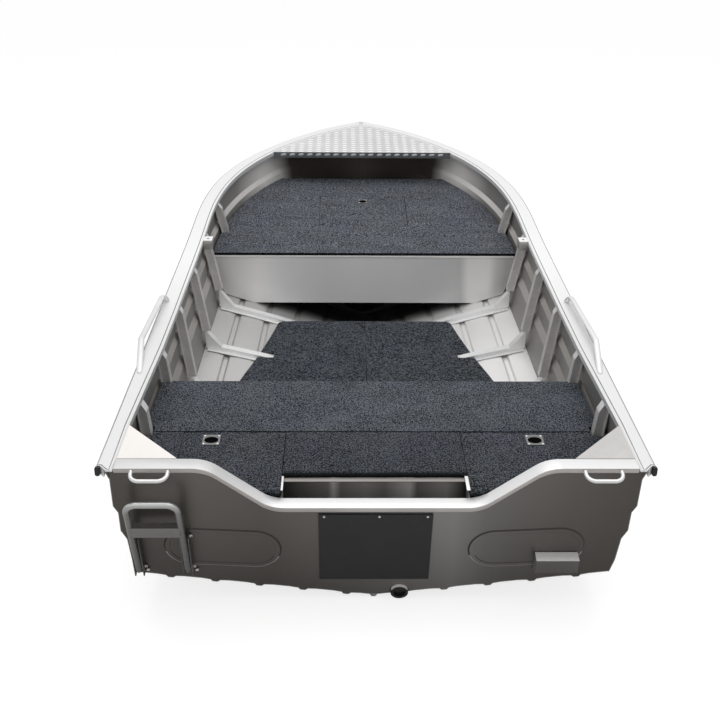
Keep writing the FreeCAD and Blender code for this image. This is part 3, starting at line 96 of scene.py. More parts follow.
class Graph:  # a node tree, and the one way in which its nodes are made
    def __init__(self, tree):
        self.tree = tree

    def plug(self, socket, value):
        if isinstance(value, Wire):
            self.tree.links.new(value.socket, socket)
        else:
            socket.default_value = value

    def add(self, kind, settings=None, inputs=None, output=0):
        node = self.tree.nodes.new(kind)
        for key, value in (settings or {}).items():
            if key == "stops":
                self.setStops(node.color_ramp, value)
            else:
                setattr(node, key, value)
        for key, value in (inputs or {}).items():
            self.plug(node.inputs[key], value)
        return Wire(self, node.outputs[output])

    def setStops(self, ramp, stops):
        while len(ramp.elements) < len(stops):
            ramp.elements.new(0.5)
        for element, (place, colour) in zip(ramp.elements, stops):
            element.position = place
            element.color = colour

    def metres(self):
        return self.add("ShaderNodeTexCoord", output="Object")  # metres in the shared frame

    def place(self, scale=(1, 1, 1), turn=(0, 0, 0)):
        return self.add("ShaderNodeMapping", None,
                        {"Vector": self.metres(), "Scale": scale, "Rotation": turn})

    def along(self, where, axis):
        return self.add("ShaderNodeSeparateXYZ", None, {"Vector": where}, axis)

    def noise(self, where, scale, detail=3, rough=0.5):
        return self.add("ShaderNodeTexNoise", None,
                        {"Vector": where, "Scale": scale, "Detail": detail, "Roughness": rough}, "Fac")

    def between(self, value, low, high, newLow=0, newHigh=1):
        return self.add("ShaderNodeMapRange", {"clamp": True},
                        {"Value": value, "From Min": low, "From Max": high,
                         "To Min": newLow, "To Max": newHigh})

    def blend(self, share, one, other):
        return self.add("ShaderNodeMix", {"data_type": "RGBA"},
                        {"Factor": share, "A": one, "B": other}, "Result")

    def bump(self, height, distance, strength=1):
        return self.add("ShaderNodeBump", None,
                        {"Height": height, "Distance": distance, "Strength": strength}, "Normal")


class Look(Graph):  # one material
    def __init__(self, name):
        self.material = bpy.data.materials.new(name)
        self.material.use_nodes = True
        super().__init__(self.material.node_tree)

    def finish(self, **values):
        shader = self.tree.nodes["Principled BSDF"]
        for name, value in values.items():
            self.plug(shader.inputs[shaderSockets[name]], value)
        return self.material


# Bare metal: scales of its patterns, the part of each that counts, and how far the roughness strays
sheetLook = {"clouds": 2.6, "smears": (7, 2.2, 5), "mixed": (0.36, 0.66), "dull": (0.35, 0.7),
             "smoother": 0.05, "rougher": 0.09, "lines": 0.12, "relief": 0.00002}


def rolledMetal(name, pale, dark, metal, rough=0.4, grain=(60, 60, 60), streak=0.3):
    # sheet or extrusion with fine lines along one way, cloudy patches and a few dull smears
    look = Look(name)
    lines = look.noise(look.place(grain), 1, 4, 0.62)
    clouds = look.noise(look.place(), sheetLook["clouds"], 4, 0.55)
    smears = look.noise(look.place(sheetLook["smears"]), 1, 5, 0.7)
    share = look.between(clouds * (1 - streak) + lines * streak, *sheetLook["mixed"])
    dull = look.between(smears, *sheetLook["dull"],
                        rough - sheetLook["smoother"], rough + sheetLook["rougher"])
    return look.finish(colour=look.blend(share, pale, dark), metal=metal,
                       rough=dull + (lines - 0.5) * sheetLook["lines"],
                       normal=look.bump(lines, sheetLook["relief"]))


# Brushed sheet with painted light: scales of the clouds that move its painted bands and of its fine grain
bandLook = {"cloud": (2.2, 0.5, 1.1), "narrow": (9, 0.4, 0.7), "narrowShare": 0.3, "grain": (4, 30, 420),
            "grained": (0.3, 0.7), "smoother": 0.05, "rougher": 0.06, "relief": 0.00001}


def bandedSheet(name, stops, span, metal, rough, wander, axis="X", paintedShade=None):
    # brushed sheet with soft bands of painted reflection, highlight and shade, set out over a span along one
    # way of the boat
    # wander is how far the bands stray from straight, in metres
    # the last argument is a second way along which painted shade darkens it: axis, from, to, share
    look = Look(name)
    where = look.metres()
    cloud = look.noise(look.place(bandLook["cloud"]), 1, 2, 0.5) - 0.5
    narrow = look.noise(look.place(bandLook["narrow"]), 1, 3, 0.6) - 0.5
    moved = look.along(where, axis) + cloud * wander + narrow * wander * bandLook["narrowShare"]
    colour = look.add("ShaderNodeValToRGB", {"stops": stops}, {"Fac": look.between(moved, *span)}, "Color")
    if paintedShade:
        second, start, end, share = paintedShade
        colour = look.blend(look.between(look.along(where, second), start, end, 0, share), colour, black)
    grain = look.noise(look.place(bandLook["grain"]), 1, 3, 0.6)
    roughness = look.between(grain, *bandLook["grained"],
                             rough - bandLook["smoother"], rough + bandLook["rougher"])
    return look.finish(colour=colour, metal=metal, rough=roughness,
                       normal=look.bump(grain, bandLook["relief"]))


# Carpet: scales of the tufts, the change of hue and the ragged edge of its painted shade, and the part of
# each that counts
pileLook = {"tufts": 520, "turn": (0.4, 0.2, 0.7), "tuftShare": 0.15, "flecked": (0.44, 0.59), "worn": 0.5,
            "hue": 5, "hued": (0.4, 0.62), "warm": (0.98, 0.98, 0.92), "shadeEdgeScale": 160, "stray": 0.02,
            "depth": 0.0009, "strength": 0.7, "rough": 0.95, "specular": 0.1}


def pileCarpet(name, ground, fleck, tuftScale=195, streaks=(9, 9, 9), paintedShade=None):
    # needle-punched pile: dark ground, pale flecks, brushed patches and a faint change of hue
    # the last argument is the way along which painted shade darkens it: axis, from, to, share
    look = Look(name)
    where = look.place()
    flecks = look.noise(where, tuftScale, 2, 0.75)
    tufts = look.noise(look.place((1, 1, 1), pileLook["turn"]), pileLook["tufts"], 2, 0.6)
    worn = look.noise(look.place(streaks), 1, 3, 0.6)
    hue = look.between(look.noise(where, pileLook["hue"], 3, 0.6), *pileLook["hued"])
    mixed = flecks * (1 - pileLook["tuftShare"]) + tufts * pileLook["tuftShare"]
    light = look.between(mixed, *pileLook["flecked"]) + (worn - 0.5) * pileLook["worn"]
    warmer = tuple(c * share for c, share in zip(fleck, pileLook["warm"])) + (1,)
    colour = look.blend(look.between(light, 0, 1), ground, look.blend(hue, fleck, warmer))
    if paintedShade:
        axis, start, end, share = paintedShade
        # a ragged edge for the painted shade
        stray = (look.noise(where, pileLook["shadeEdgeScale"], 2, 0.6) - 0.5) * pileLook["stray"]
        far = look.along(where, axis) + stray
        colour = look.blend(look.between(far, start, end, 0, share), colour, black)
    return look.finish(colour=colour, rough=pileLook["rough"], specular=pileLook["specular"],
                       normal=look.bump(tufts * 0.5 + flecks * 0.5, pileLook["depth"], pileLook["strength"]))


# Black rubber and plastic, and a black for painted shade: scales of the pebble and dust, and how much dust
# shows
mouldLook = {"pebble": 900, "pebbled": (0.3, 0.7), "depth": 0.0001, "strength": 0.6, "dust": 9,
             "dusty": (0.5, 0.8), "dustShare": 0.25, "dustGain": 2.4, "dustLift": 0.01, "smoother": 0.08,
             "rougher": 0.1}


def mouldedBlack(name, colour, rough, specular=0.5):
    # black rubber or plastic with a fine pebble and a little dust, also used as painted shade
    look = Look(name)
    where = look.place()
    pebble = look.noise(where, mouldLook["pebble"], 2, 0.5)
    dust = look.between(look.noise(where, mouldLook["dust"], 5, 0.65), *mouldLook["dusty"],
                        0, mouldLook["dustShare"])
    dusty = tuple(min(1, c * mouldLook["dustGain"] + mouldLook["dustLift"]) for c in colour[:3]) + (1,)
    roughness = look.between(pebble, *mouldLook["pebbled"],
                             rough - mouldLook["smoother"], rough + mouldLook["rougher"])
    return look.finish(colour=look.blend(dust, colour, dusty), rough=roughness, specular=specular,
                       normal=look.bump(pebble, mouldLook["depth"], mouldLook["strength"]))


def bands(*stops):
    # painted reflections, highlights and shade in bare metal: place from 0 to 1, grey level, and how warm it
    # is
    return [(place, grey(*shade)) for place, *shade in stops]


# painted reflections in bands across the transom
transomBands = bands((0, 84, 4), (0.16, 104, 4), (0.29, 98, 4), (0.38, 108, 4), (0.5, 124, 3), (0.66, 146, 2),
                     (0.72, 122, 2), (0.77, 112, 3), (0.86, 100, 4), (1, 80, 4))
# painted reflections in bands across the bow riser
riserBands = bands((0, 216, 1), (0.13, 254, 1), (0.2, 247), (0.36, 242), (0.46, 248), (0.62, 240), (0.8, 212),
                   (0.835, 204), (0.865, 240, 1), (0.94, 244, 1), (0.97, 214, 1), (1, 204, 1))
# painted reflections in bands across the splash well's wall
wellBands = bands((0, 66), (0.24, 150, 4), (0.27, 226, 5), (0.31, 142, 4), (0.45, 174, 4), (0.56, 146, 2),
                  (0.7, 226, 4), (0.74, 130, 3), (0.9, 184, 4), (1, 66))
# painted light inside the side plating: a painted highlight towards the bow, painted shade under the foredeck
insideBands = bands((0, 130, 2), (0.3, 144, 2), (0.5, 150, 3), (0.66, 140, 3), (0.76, 160, 3), (0.83, 255, 3),
                    (0.87, 255, 3), (0.89, 96, 6), (1, 60, 8))
# painted highlight on the plank steps' up-facing faces, painted shade under the foredeck
stepBands = bands((0, 170, 4), (0.6, 186, 4), (0.75, 232, 3), (0.87, 255, 2), (0.89, 96, 6), (1, 60, 8))
# painted light on the bottom's inner face: lighter towards starboard
floorBands = bands((0, 192, 1), (0.45, 198, 1), (0.7, 232, 1), (1, 234, 1))
# painted reflections in bands across the transom cap
capBands = bands((0, 200), (0.22, 206), (0.32, 232), (0.7, 232), (1, 226))
# painted reflections along the gunwales, lighter towards the bow
railBands = bands((0, 222), (0.25, 226), (0.45, 242), (0.7, 238), (1, 238))
# painted highlight on the ladder's top bar, above darker legs
ladderBands = bands((0, 112), (0.6, 122, 1), (0.86, 134, 1), (1, 196))

# where the bands run from and to, in metres
spans = {"hull": (-1.7, 2.1), "transom": (-0.86, 0.86), "floor": (-0.8, 0.8), "riser": (-0.74, 0.74),
         "well": (-0.31, 0.31), "ladder": (0.03, 0.43)}
# scales of the grain along X, Y and Z, low along its lines and high across them
grains = {"rail": (160, 2, 160), "cap": (2, 160, 160), "plate": (120, 2, 60), "fold": (4, 60, 60),
          "knee": (40, 40, 40), "cast": (90, 90, 90), "tube": (120, 120, 120)}

finishes = {
    # gunwales: painted reflections in bands along them
    "gunwale": bandedSheet("satinExtrusionPaintedReflections", railBands, spans["hull"], 0.5, 0.45, 0.05, "Y"),
    # painted shade in the gunwales' grooves
    "groove": rolledMetal("extrusionGroovePaintedShade", grey(120), grey(98), 0.5, 0.5, grains["rail"], 0.2),
    # transom cap: painted reflections in bands across it
    "cap": bandedSheet("satinCapPaintedReflections", capBands, spans["transom"], 0.55, 0.42, 0.04),
    # painted shade on the cap's aft-facing lip
    "capAftShade": rolledMetal("satinCapAftPaintedShade", grey(194, 4), grey(166, 4), 0.6, 0.42, grains["cap"], 0.25),
    "tubes": rolledMetal("satinTube", grey(230), grey(214), 0.6, 0.36, grains["tube"], 0.2),
    # transom: painted reflections in bands across it, and painted shade darker towards its foot
    "transom": bandedSheet("brushedTransomPaintedReflections", transomBands, spans["transom"], 0.7, 0.38, 0.12,
                           paintedShade=("Z", 0.5, -0.1, 0.3)),
    "side": rolledMetal("sidePlating", grey(176, 2), grey(150, 2), 0.7, grain=grains["plate"]),
    # inner side plating: painted highlight towards the bow, painted shade under the foredeck
    "sideInside": bandedSheet("sidePlatingInsidePaintedLight", insideBands, spans["hull"], 0.28, 0.36, 0.06, "Y"),
    # plank steps: painted highlight on their up-facing faces, painted shade under the foredeck
    "stepInside": bandedSheet("plankStepPaintedHighlight", stepBands, spans["hull"], 0.28, 0.36, 0.06, "Y"),
    "bottom": rolledMetal("bottomPlating", grey(196, 1), grey(176, 1), 0.7, grain=grains["plate"]),
    # bottom's inner face: painted light, lighter towards starboard, and painted shade darkening it forward of
    # the bow riser
    "bottomInside": bandedSheet("bottomPlatingInsidePaintedLight", floorBands, spans["floor"], 0.5, 0.4, 0.1,
                                paintedShade=("Y", 0.5, 0.62, 0.93)),
    "frames": rolledMetal("foldedFrames", grey(228, 2), grey(200, 2), 0.55, 0.36),
    # painted highlight on the up-facing faces of the side frames and rowlock sockets
    "topHighlight": rolledMetal("frameTopsPaintedHighlight", grey(255), grey(244), 0.2),
    # bottom frames: a painted lit copy, and a painted shaded copy for those under the deck
    "ribs": rolledMetal("weldedRibsPaintedLit", grey(246), grey(232), 0.45),
    "ribsShade": rolledMetal("shadedRibs", grey(62), grey(48), 0.5),
    # bow riser: painted reflections in bands across it
    "riser": bandedSheet("brushedRiserPaintedReflections", riserBands, spans["riser"], 0.25, 0.4, 0.1),
    # painted highlight: near-white for folded edges, the tops of the transducer bracket and drain, and the
    # latch screws
    "edgeStrip": rolledMetal("foldedEdgePaintedHighlight", grey(255), grey(240, 2), 0.2, grain=grains["fold"]),
    "panel": rolledMetal("plainPanel", grey(190, 2), grey(164, 2), 0.6),
    # splash well wall: painted reflections in bands across it
    "well": bandedSheet("brushedWellPaintedReflections", wellBands, spans["well"], 0.2, 0.4, 0.03),
    "wellFlange": rolledMetal("wellFlange", grey(160, 3), grey(136, 4), 0.4, grain=grains["fold"]),
    # painted light: the port knee lit and warmer, the starboard knee in shade
    "knee_port": rolledMetal("kneePortPaintedLight", grey(236, 4), grey(228, 4), 0.4, 0.5, grains["knee"]),
    "knee_starboard": rolledMetal("kneeStarboardPaintedShade", grey(196, 2), grey(184, 2), 0.5, 0.5, grains["knee"]),
    # painted glints: the tread plate's bars paler than the plate; painted shade on the aft-facing lip, its
    # bars paler than it
    "tread": rolledMetal("treadPlate", grey(218), grey(198), 0.5),
    "treadBar": rolledMetal("treadBars", grey(255), grey(248), 0.1),
    "treadLipShade": rolledMetal("treadLipShade", grey(128, -2), grey(106, -2), 0.5),
    "treadLipBar": rolledMetal("treadLipBars", grey(206, -2), grey(186, -2), 0.4),
    # ladder: painted highlight rising to its top bar
    "ladder": bandedSheet("ladderTubePaintedHighlight", ladderBands, spans["ladder"], 0.75, 0.3, 0.02, "Z"),
    "bracket": rolledMetal("ladderBracket", grey(110, 2), grey(86, 2), 0.8, 0.36, grains["cast"]),
    "steel": rolledMetal("polishedSteel", grey(222, 1), grey(200, 1), 0.8, 0.25, grains["cast"], 0.2),
    "latch": rolledMetal("castLatch", grey(126, 1), grey(108, 1), 0.6, 0.4, grains["cast"], 0.2),
    # painted shade: the latches' recess floor a little darker than their frames
    "latchRecessShade": rolledMetal("latchRecessShade", grey(120), grey(98), 0.6, 0.45, grains["cast"], 0.2),
    # painted shade: the transducer bracket's sheet darker, as the transom's is
    "transducer": rolledMetal("transducerSheetPaintedShade", grey(104, 2), grey(86, 3), 0.6, grain=grains["cast"]),
    # painted shade and painted highlight on the pressed ovals' slopes
    "ovalShade": rolledMetal("ovalSlopePaintedShade", grey(62, 3), grey(54, 3), 0.6),
    "ovalLight": rolledMetal("ovalSlopePaintedHighlight", grey(168, 3), grey(152, 3), 0.6),
    "deckCarpet": pileCarpet("deckCarpet", tint(46, 49, 55), tint(126, 130, 139), 140, (4, 14, 5)),
    "seatCarpet": pileCarpet("seatCarpet", tint(28, 31, 36), tint(116, 121, 130)),
    "hatchCarpet": pileCarpet("hatchCarpet", tint(20, 22, 26), tint(102, 106, 114)),
    "floorCarpet": pileCarpet("floorCarpet", tint(24, 27, 31), tint(98, 103, 111), 155),
    # painted shade: near-black carpet on board edges and the box walls' tops
    "pileEdgeShade": pileCarpet("pileEdgeShade", tint(8, 9, 11), tint(48, 50, 54)),
    # painted shade darkening the centre board's aft edge
    "centreCarpet": pileCarpet("centreCarpet", tint(20, 22, 26), tint(98, 102, 110),
                               paintedShade=("Y", -1.488, -1.508, 0.9)),
    "pad": mouldedBlack("ribbedRubber", tint(28, 28, 28), 0.6),
    "plastic": mouldedBlack("mouldedPlastic", tint(20, 20, 20), 0.4),
    # painted shade: near-black in the latches' cups
    "void": mouldedBlack("shadowBlack", tint(4, 4, 4), 0.8, 0.02),
}
print("finishes made:", len(finishes))


def deselect():
    bpy.ops.object.select_all(action="DESELECT")


def pick(piece):
    deselect()
    piece.select_set(True)
    bpy.context.view_layer.objects.active = piece


def applyModifier(piece, kind, **settings):
    modifier = piece.modifiers.new(kind.lower(), kind)
    for key, value in settings.items():
        setattr(modifier, key, value)
    pick(piece)
    bpy.ops.object.modifier_apply(modifier=modifier.name)


def softenEdges(piece, degrees):
    pick(piece)
    bpy.ops.object.shade_smooth_by_angle(angle=math.radians(degrees))


def settle(piece, finish, body="hull"):
    # paint a finished piece and put it on its body
    piece.data.materials.clear()
    piece.data.materials.append(finishes[finish])
    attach(piece, body)
    return piece


# How a copy of a node is cleaned: corners merged this near in metres, angles in degrees
cleaning = {"merge": 0.00002, "flat": 0.5, "sharp": 40}


def dress(node, finish, body="hull", bevel=0, segments=2, smooth=32, flat=False, grow=0):
    # a smooth-shaded copy of a fixed node, its sharp edges eased, stands for it
    # grow is the pile's thickness on a carpeted board
    piece = bpy.data.objects.new(node + "_dressed", nodes[node].data.copy())
    bpy.context.scene.collection.objects.link(piece)
    pick(piece)
    bpy.ops.object.mode_set(mode="EDIT")
    bpy.ops.mesh.select_all(action="SELECT")
    bpy.ops.mesh.remove_doubles(threshold=cleaning["merge"])
    bpy.ops.mesh.customdata_custom_splitnormals_clear()
    if flat:
        bpy.ops.mesh.dissolve_limited(angle_limit=math.radians(cleaning["flat"]))
    bpy.ops.object.mode_set(mode="OBJECT")
    if grow:
        applyModifier(piece, "DISPLACE", strength=grow, mid_level=0)
    if bevel:
        applyModifier(piece, "BEVEL", width=bevel, segments=segments, limit_method="ANGLE",
                      angle_limit=math.radians(cleaning["sharp"]), use_clamp_overlap=True)
    softenEdges(piece, smooth)
    settle(piece, finish, body)
    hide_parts(node)
    return piece


def paintFaces(piece, finish, wanted):
    # a second finish, painted light or shade, on the faces that a rule picks by their normal and centre
    piece.data.materials.append(finishes[finish])
    index = len(piece.data.materials) - 1
    for face in piece.data.polygons:
        if wanted(face.normal, face.center):
            face.material_index = index


def selectFaces(piece, wanted):
    # only the faces that a rule picks by their normal
    pick(piece)
    bpy.ops.object.mode_set(mode="EDIT")
    bpy.ops.mesh.select_mode(type="FACE")
    bpy.ops.mesh.select_all(action="DESELECT")
    bpy.ops.object.mode_set(mode="OBJECT")
    for face in piece.data.polygons:
        face.select = wanted(face.normal)


def insetFaces(*steps, even=True):
    # the selected faces step in, once for each pair of thickness and depth
    bpy.ops.object.mode_set(mode="EDIT")
    for thickness, depth in steps:
        bpy.ops.mesh.inset(thickness=thickness, depth=depth, use_even_offset=even)
    bpy.ops.object.mode_set(mode="OBJECT")


def reshape(piece, rule):
    # every corner goes where the rule puts it
    for corner in piece.data.vertices:
        corner.co = rule(corner.co.copy())
    piece.data.update()


def scaleFlat(piece, wide, long):
    # wider or longer about its own middle, seen from above
    corners = [corner.co for corner in piece.data.vertices]
    x = sum(corner.x for corner in corners) / len(corners)
    y = sum(corner.y for corner in corners) / len(corners)
    reshape(piece, lambda corner: Vector((x + (corner.x - x) * wide, y + (corner.y - y) * long, corner.z)))


# The transom's rake and depth, and where the shared frame's origin lies from the transom's foot
hull = {"rake": 0.207, "depth": 0.621, "station": 1.7, "draft": 0.092}
rakeTurn = math.radians(90) + math.atan(hull["rake"])
rakeStretch = math.hypot(1, hull["rake"])
facing = 0.9  # how squarely a face looks one way to count as that side


def inRow(x, y, z):
    # place of a point by its distance forward of the transom's foot and its height above the keel
    return Vector((x, y - hull["station"], z - hull["draft"]))


def onTransom(x, height, out):
    # place of a point by its height up the keel line and its distance out of the plate
    return inRow(x, (hull["depth"] - height) * hull["rake"] - out / rakeStretch,
                 height - out * hull["rake"] / rakeStretch)


def wayOf(corner):
    return 1 if corner.x > 0 else -1


# A groove runs round each rail's top, a little way in from its edges, its faces painted dark as shade
railGroove = {"top": 0.85, "margin": 0.0045, "wide": 0.0018, "deep": 0.001}


def grooveTop(rail):
    selectFaces(rail, lambda normal: normal.z > railGroove["top"])
    rail.data.materials.append(finishes["groove"])
    insetFaces((railGroove["margin"], 0), even=False)
    for depth in (-railGroove["deep"], railGroove["deep"]):
        count = len(rail.data.polygons)
        insetFaces((railGroove["wide"], depth), even=False)
        for face in rail.data.polygons[count:]:
            face.material_index = 1


# Towards the stern the rails' inner edges lie further out, and the cap's ends meet them
railForm = {"from": -0.75, "to": -1.44, "narrow": 0.02, "near": 0.02, "lip": 0.012, "capEnd": 0.8}


def narrowRail(rail):
    corners = [corner.co.copy() for corner in rail.data.vertices]

    def rule(corner):
        share = min(1, (railForm["from"] - corner.y) / (railForm["from"] - railForm["to"]))
        if share > 0:
            inner = min(abs(other.x) for other in corners if abs(other.y - corner.y) < railForm["near"])
            if abs(corner.x) < inner + railForm["lip"]:
                corner.x += math.copysign(share * railForm["narrow"], corner.x)
        return corner

    reshape(rail, rule)


def longCap(corner):
    if abs(corner.x) > railForm["capEnd"]:
        corner.x += math.copysign(railForm["narrow"], corner.x)
    return corner


def boatSide(way):
    # keeps a rail's corners on its own side of the centreline and behind the stem's front
    return lambda corner: Vector((max(0, corner.x * way) * way, min(corner.y, cadHigh.y), corner.z))


# The knees' corners meet the rails' inner edges, flush with their tops
kneePlaces = {"aft": (0.8313, -1.6445), "front": (0.8286, -1.436), "inner": (0.64, -1.6445), "drop": 0.0035,
              "frontFrom": -1.5, "aftFrom": 0.75}


def kneeFlush(corner):
    if corner.y > kneePlaces["frontFrom"]:
        x, y = kneePlaces["front"]
    elif abs(corner.x) > kneePlaces["aftFrom"]:
        x, y = kneePlaces["aft"]
    else:
        x, y = kneePlaces["inner"]
    return Vector((wayOf(corner) * x, y, corner.z - kneePlaces["drop"]))


# The side handles are shorter and flatter, and lie lower, further aft and further in
handleForm = {"in": {1: 0.015, -1: 0.001}, "aft": 0.03, "flat": 0.62, "short": 0.905, "middle": -0.7185,
              "foot": -1.06, "base": 0.5347, "climb": 0.0223}


def handleLow(corner):
    way = wayOf(corner)
    base = handleForm["base"] + (corner.y - handleForm["foot"]) * handleForm["climb"]
    y = handleForm["middle"] + (corner.y - handleForm["middle"]) * handleForm["short"]
    return Vector((corner.x - way * handleForm["in"][way], y - handleForm["aft"],
                   base + (corner.z - base) * handleForm["flat"]))


# The ladder brackets' lower tips are shorter
bracketTips = {"below": 0.052, "rise": 0.012}


def bracketShort(corner):
    if corner.z < bracketTips["below"]:
        corner.z += bracketTips["rise"]
    return corner


# The pressed ovals' edges slope, as a press leaves them
ovalForm = {"centre": 0.513, "level": 0.253, "reach": 0.1065, "radius": 0.086, "inset": 0.012, "tilt": 3.5,
            "outer": 0.006, "inner": 0.003, "near": 0.0006, "face": 0.0008, "stand": 0.0022}
# where the ovals' painted highlight and shade lie
ovalPaint = {"light": 0.03, "inside": 0.004, "outside": 0.007, "aft": -0.2, "flat": 0.998}


def ovalSpoke(corner):
    # the way from the oval's middle line to a corner, its height up the plate and out of it
    way = wayOf(corner)
    offset = corner - onTransom(way * ovalForm["centre"], ovalForm["level"], 0)
    up = Vector((0, -hull["rake"], 1)).normalized()
    out = Vector((0, -1, -hull["rake"])).normalized()
    turn = Matrix.Rotation(math.radians(way * ovalForm["tilt"]), 3, out)
    along = turn @ Vector((1, 0, 0))
    up = turn @ up
    axis = max(-ovalForm["reach"], min(ovalForm["reach"], offset.dot(along))) * along
    spoke = offset - axis - out * offset.dot(out)
    return spoke, spoke.dot(up), offset.dot(out)


def easeOval(corner):
    spoke, climb, high = ovalSpoke(corner)
    past = spoke.length - ovalForm["radius"]
    if abs(past) < ovalForm["near"] and abs(high) < ovalForm["face"]:
        return corner + spoke.normalized() * ovalForm["outer"]
    if abs(past + ovalForm["inset"]) < ovalForm["near"] and ovalForm["face"] < high < ovalForm["stand"]:
        return corner - spoke.normalized() * ovalForm["inner"]
    return corner


def ovalEdge(normal, centre, light):
    # faces of the slopes round an oval, painted as light and shade: the lit one lies outside and below, the
    # rest is in shade
    spoke, climb, high = ovalSpoke(centre)
    past = spoke.length - ovalForm["radius"]
    outer = past > -ovalForm["inset"] / 2
    low = climb < -ovalPaint["light"]
    slope = -ovalForm["inset"] - ovalPaint["inside"] < past < ovalPaint["outside"]
    squarely = abs(normal.dot(Vector((0, -1, -hull["rake"])).normalized()))
    turned = normal.y < ovalPaint["aft"] and squarely < ovalPaint["flat"]
    return slope and turned and (outer and low if light else outer != low)


# Latches: a frame with four screws round an oval cup painted black as shade, with rim, cup, corner and screw
# as shares of it
latchParts = {"plate": (0.068, 0.06), "stern": (0.062, 0.067), "bow": (0.05, 0.05), "high": 0.0016,
              "rim": 0.1, "fold": 0.0008, "deep": 0.7, "cup": 0.4, "cupLong": 0.31, "cupSides": 32,
              "cupHigh": 0.001, "cupEdge": 0.0003, "corner": 0.4, "screw": 0.055, "screwProud": 0.0007}

# Carpet's thickness, and where a second finish of painted light or shade begins: tilts as parts of a face's
# normal, places in metres
pile = {"board": 0.0026, "floor": 0.002}
paintFrom = {"insideLean": (0.3, 0.5), "step": 0.29, "topHighlight": 0.35, "socketTop": 0.8,
             "boxWallTop": 0.35, "lip": -0.5, "seatEdge": -0.3, "deckAft": 0.53, "underDeck": 0.45,
             "bracketTop": 0.5, "drainTop": 0.35, "drainMiddle": 0.034}


def resizeLatch(plate, kind):
    scaleFlat(plate, *(new / old for new, old in zip(latchParts[kind], latchParts["plate"])))


def dressSide(side, way):
    lidBody = "stern_lid_" + side
    forward, up = paintFrom["insideLean"]  # how far the plate's inner faces may turn from straight inboard
    plate = dress("bottom_plate_" + side, "bottom", smooth=12)
    # the bottom's inner faces take painted light and painted shade
    paintFaces(plate, "bottomInside", lambda normal, centre: normal.z > 0)
    plate = dress("side_plate_" + side, "side", smooth=12)
    # the plate's inner faces take painted light: a highlight towards the bow and shade under the foredeck
    paintFaces(plate, "sideInside",
               lambda normal, centre: normal.z * up - normal.x * way - normal.y * forward > 0)
    # the steps' up-facing faces painted pale as a highlight
    paintFaces(plate, "stepInside",
               lambda normal, centre: normal.z > paintFrom["step"] and normal.x * way < 0)
    ribs = dress("side_frames_" + side, "frames", smooth=30)
    # the frames' up-facing faces painted pale as a highlight
    paintFaces(ribs, "topHighlight", lambda normal, centre: normal.z > paintFrom["topHighlight"])
    rail = dress("gunwale_" + side, "gunwale", smooth=25)
    narrowRail(rail)
    grooveTop(rail)
    reshape(rail, boatSide(way))
    dress("gunwale_plug_" + side, "plastic", bevel=0.004, segments=3, smooth=40)
    reshape(dress("knee_" + side, "knee_" + side, flat=True), kneeFlush)
    reshape(dress("side_handle_" + side, "tubes", smooth=40), handleLow)
    dress("transom_handle_" + side, "tubes", smooth=40)
    socket = dress("rowlock_socket_" + side, "panel", bevel=0.002, flat=True)
    # the sockets' tops painted pale as a highlight
    paintFaces(socket, "topHighlight", lambda normal, centre: normal.z > paintFrom["socketTop"])
    wall = dress("box_wall_" + side, "panel", flat=True)
    # the box walls' tops painted near-black as shade
    paintFaces(wall, "pileEdgeShade", lambda normal, centre: centre.z > paintFrom["boxWallTop"])
    dress("floor_" + side, "floorCarpet", bevel=0.003, flat=True, grow=pile["floor"])
    dress("side_board_" + side, "hatchCarpet", bevel=0.0008, flat=True, grow=pile["board"])
    dress("stern_lid_" + side, "hatchCarpet", lidBody, bevel=0.0008, flat=True, grow=pile["board"])
    resizeLatch(dress("latch_" + side, "latch", lidBody, flat=True), "stern")
    dress("stern_hinge_" + side, "hatchCarpet", smooth=40)


def dressHull():
    for node in sorted(nodes):
        if node.startswith("bottom_frame"):
            aft = min(corner.co.y for corner in nodes[node].data.vertices)
            # frames under the deck take the painted shade
            dress(node, "ribsShade" if aft > paintFrom["underDeck"] else "ribs", smooth=30)
    dress("keel_bar", "side", smooth=25)
    plate = dress("transom_plate", "transom", smooth=30)
    reshape(plate, easeOval)
    paintFaces(plate, "ovalShade", lambda normal, centre: ovalEdge(normal, centre, False))
    paintFaces(plate, "ovalLight", lambda normal, centre: ovalEdge(normal, centre, True))
    cap = dress("transom_cap", "cap", bevel=0.003, segments=3, smooth=25)
    reshape(cap, longCap)
    # the cap's aft-facing faces painted darker as shade
    paintFaces(cap, "capAftShade", lambda normal, centre: normal.y < paintFrom["lip"])


def dressInside():
    dress("seat_riser", "panel", flat=True)
    dress("bow_riser", "riser", flat=True)
    dress("bow_coaming", "panel", flat=True)
    board = dress("seat_top", "seatCarpet", bevel=0.004, flat=True, grow=pile["board"])
    # the seat board's aft-facing edge painted near-black as shade
    paintFaces(board, "pileEdgeShade", lambda normal, centre: normal.y < paintFrom["seatEdge"])
    dress("seat_centre", "centreCarpet", bevel=0.0012, flat=True, grow=pile["board"])
    deck = dress("bow_deck", "deckCarpet", bevel=0.002, flat=True, grow=pile["board"])
    # the deck's aft-facing edge painted near-black as shade
    paintFaces(deck, "pileEdgeShade",
               lambda normal, centre: normal.y < paintFrom["lip"] and centre.y < paintFrom["deckAft"])
    dress("bow_lid", "deckCarpet", "bow_lid", bevel=0.002, flat=True, grow=pile["board"])
    resizeLatch(dress("latch_bow", "latch", "bow_lid", flat=True), "bow")
    dress("bow_hinge", "deckCarpet", smooth=40)
    deck = dress("foredeck", "tread", smooth=25)
    # the foredeck's aft-facing lip painted darker as shade
    paintFaces(deck, "treadLipShade", lambda normal, centre: normal.y < paintFrom["lip"])


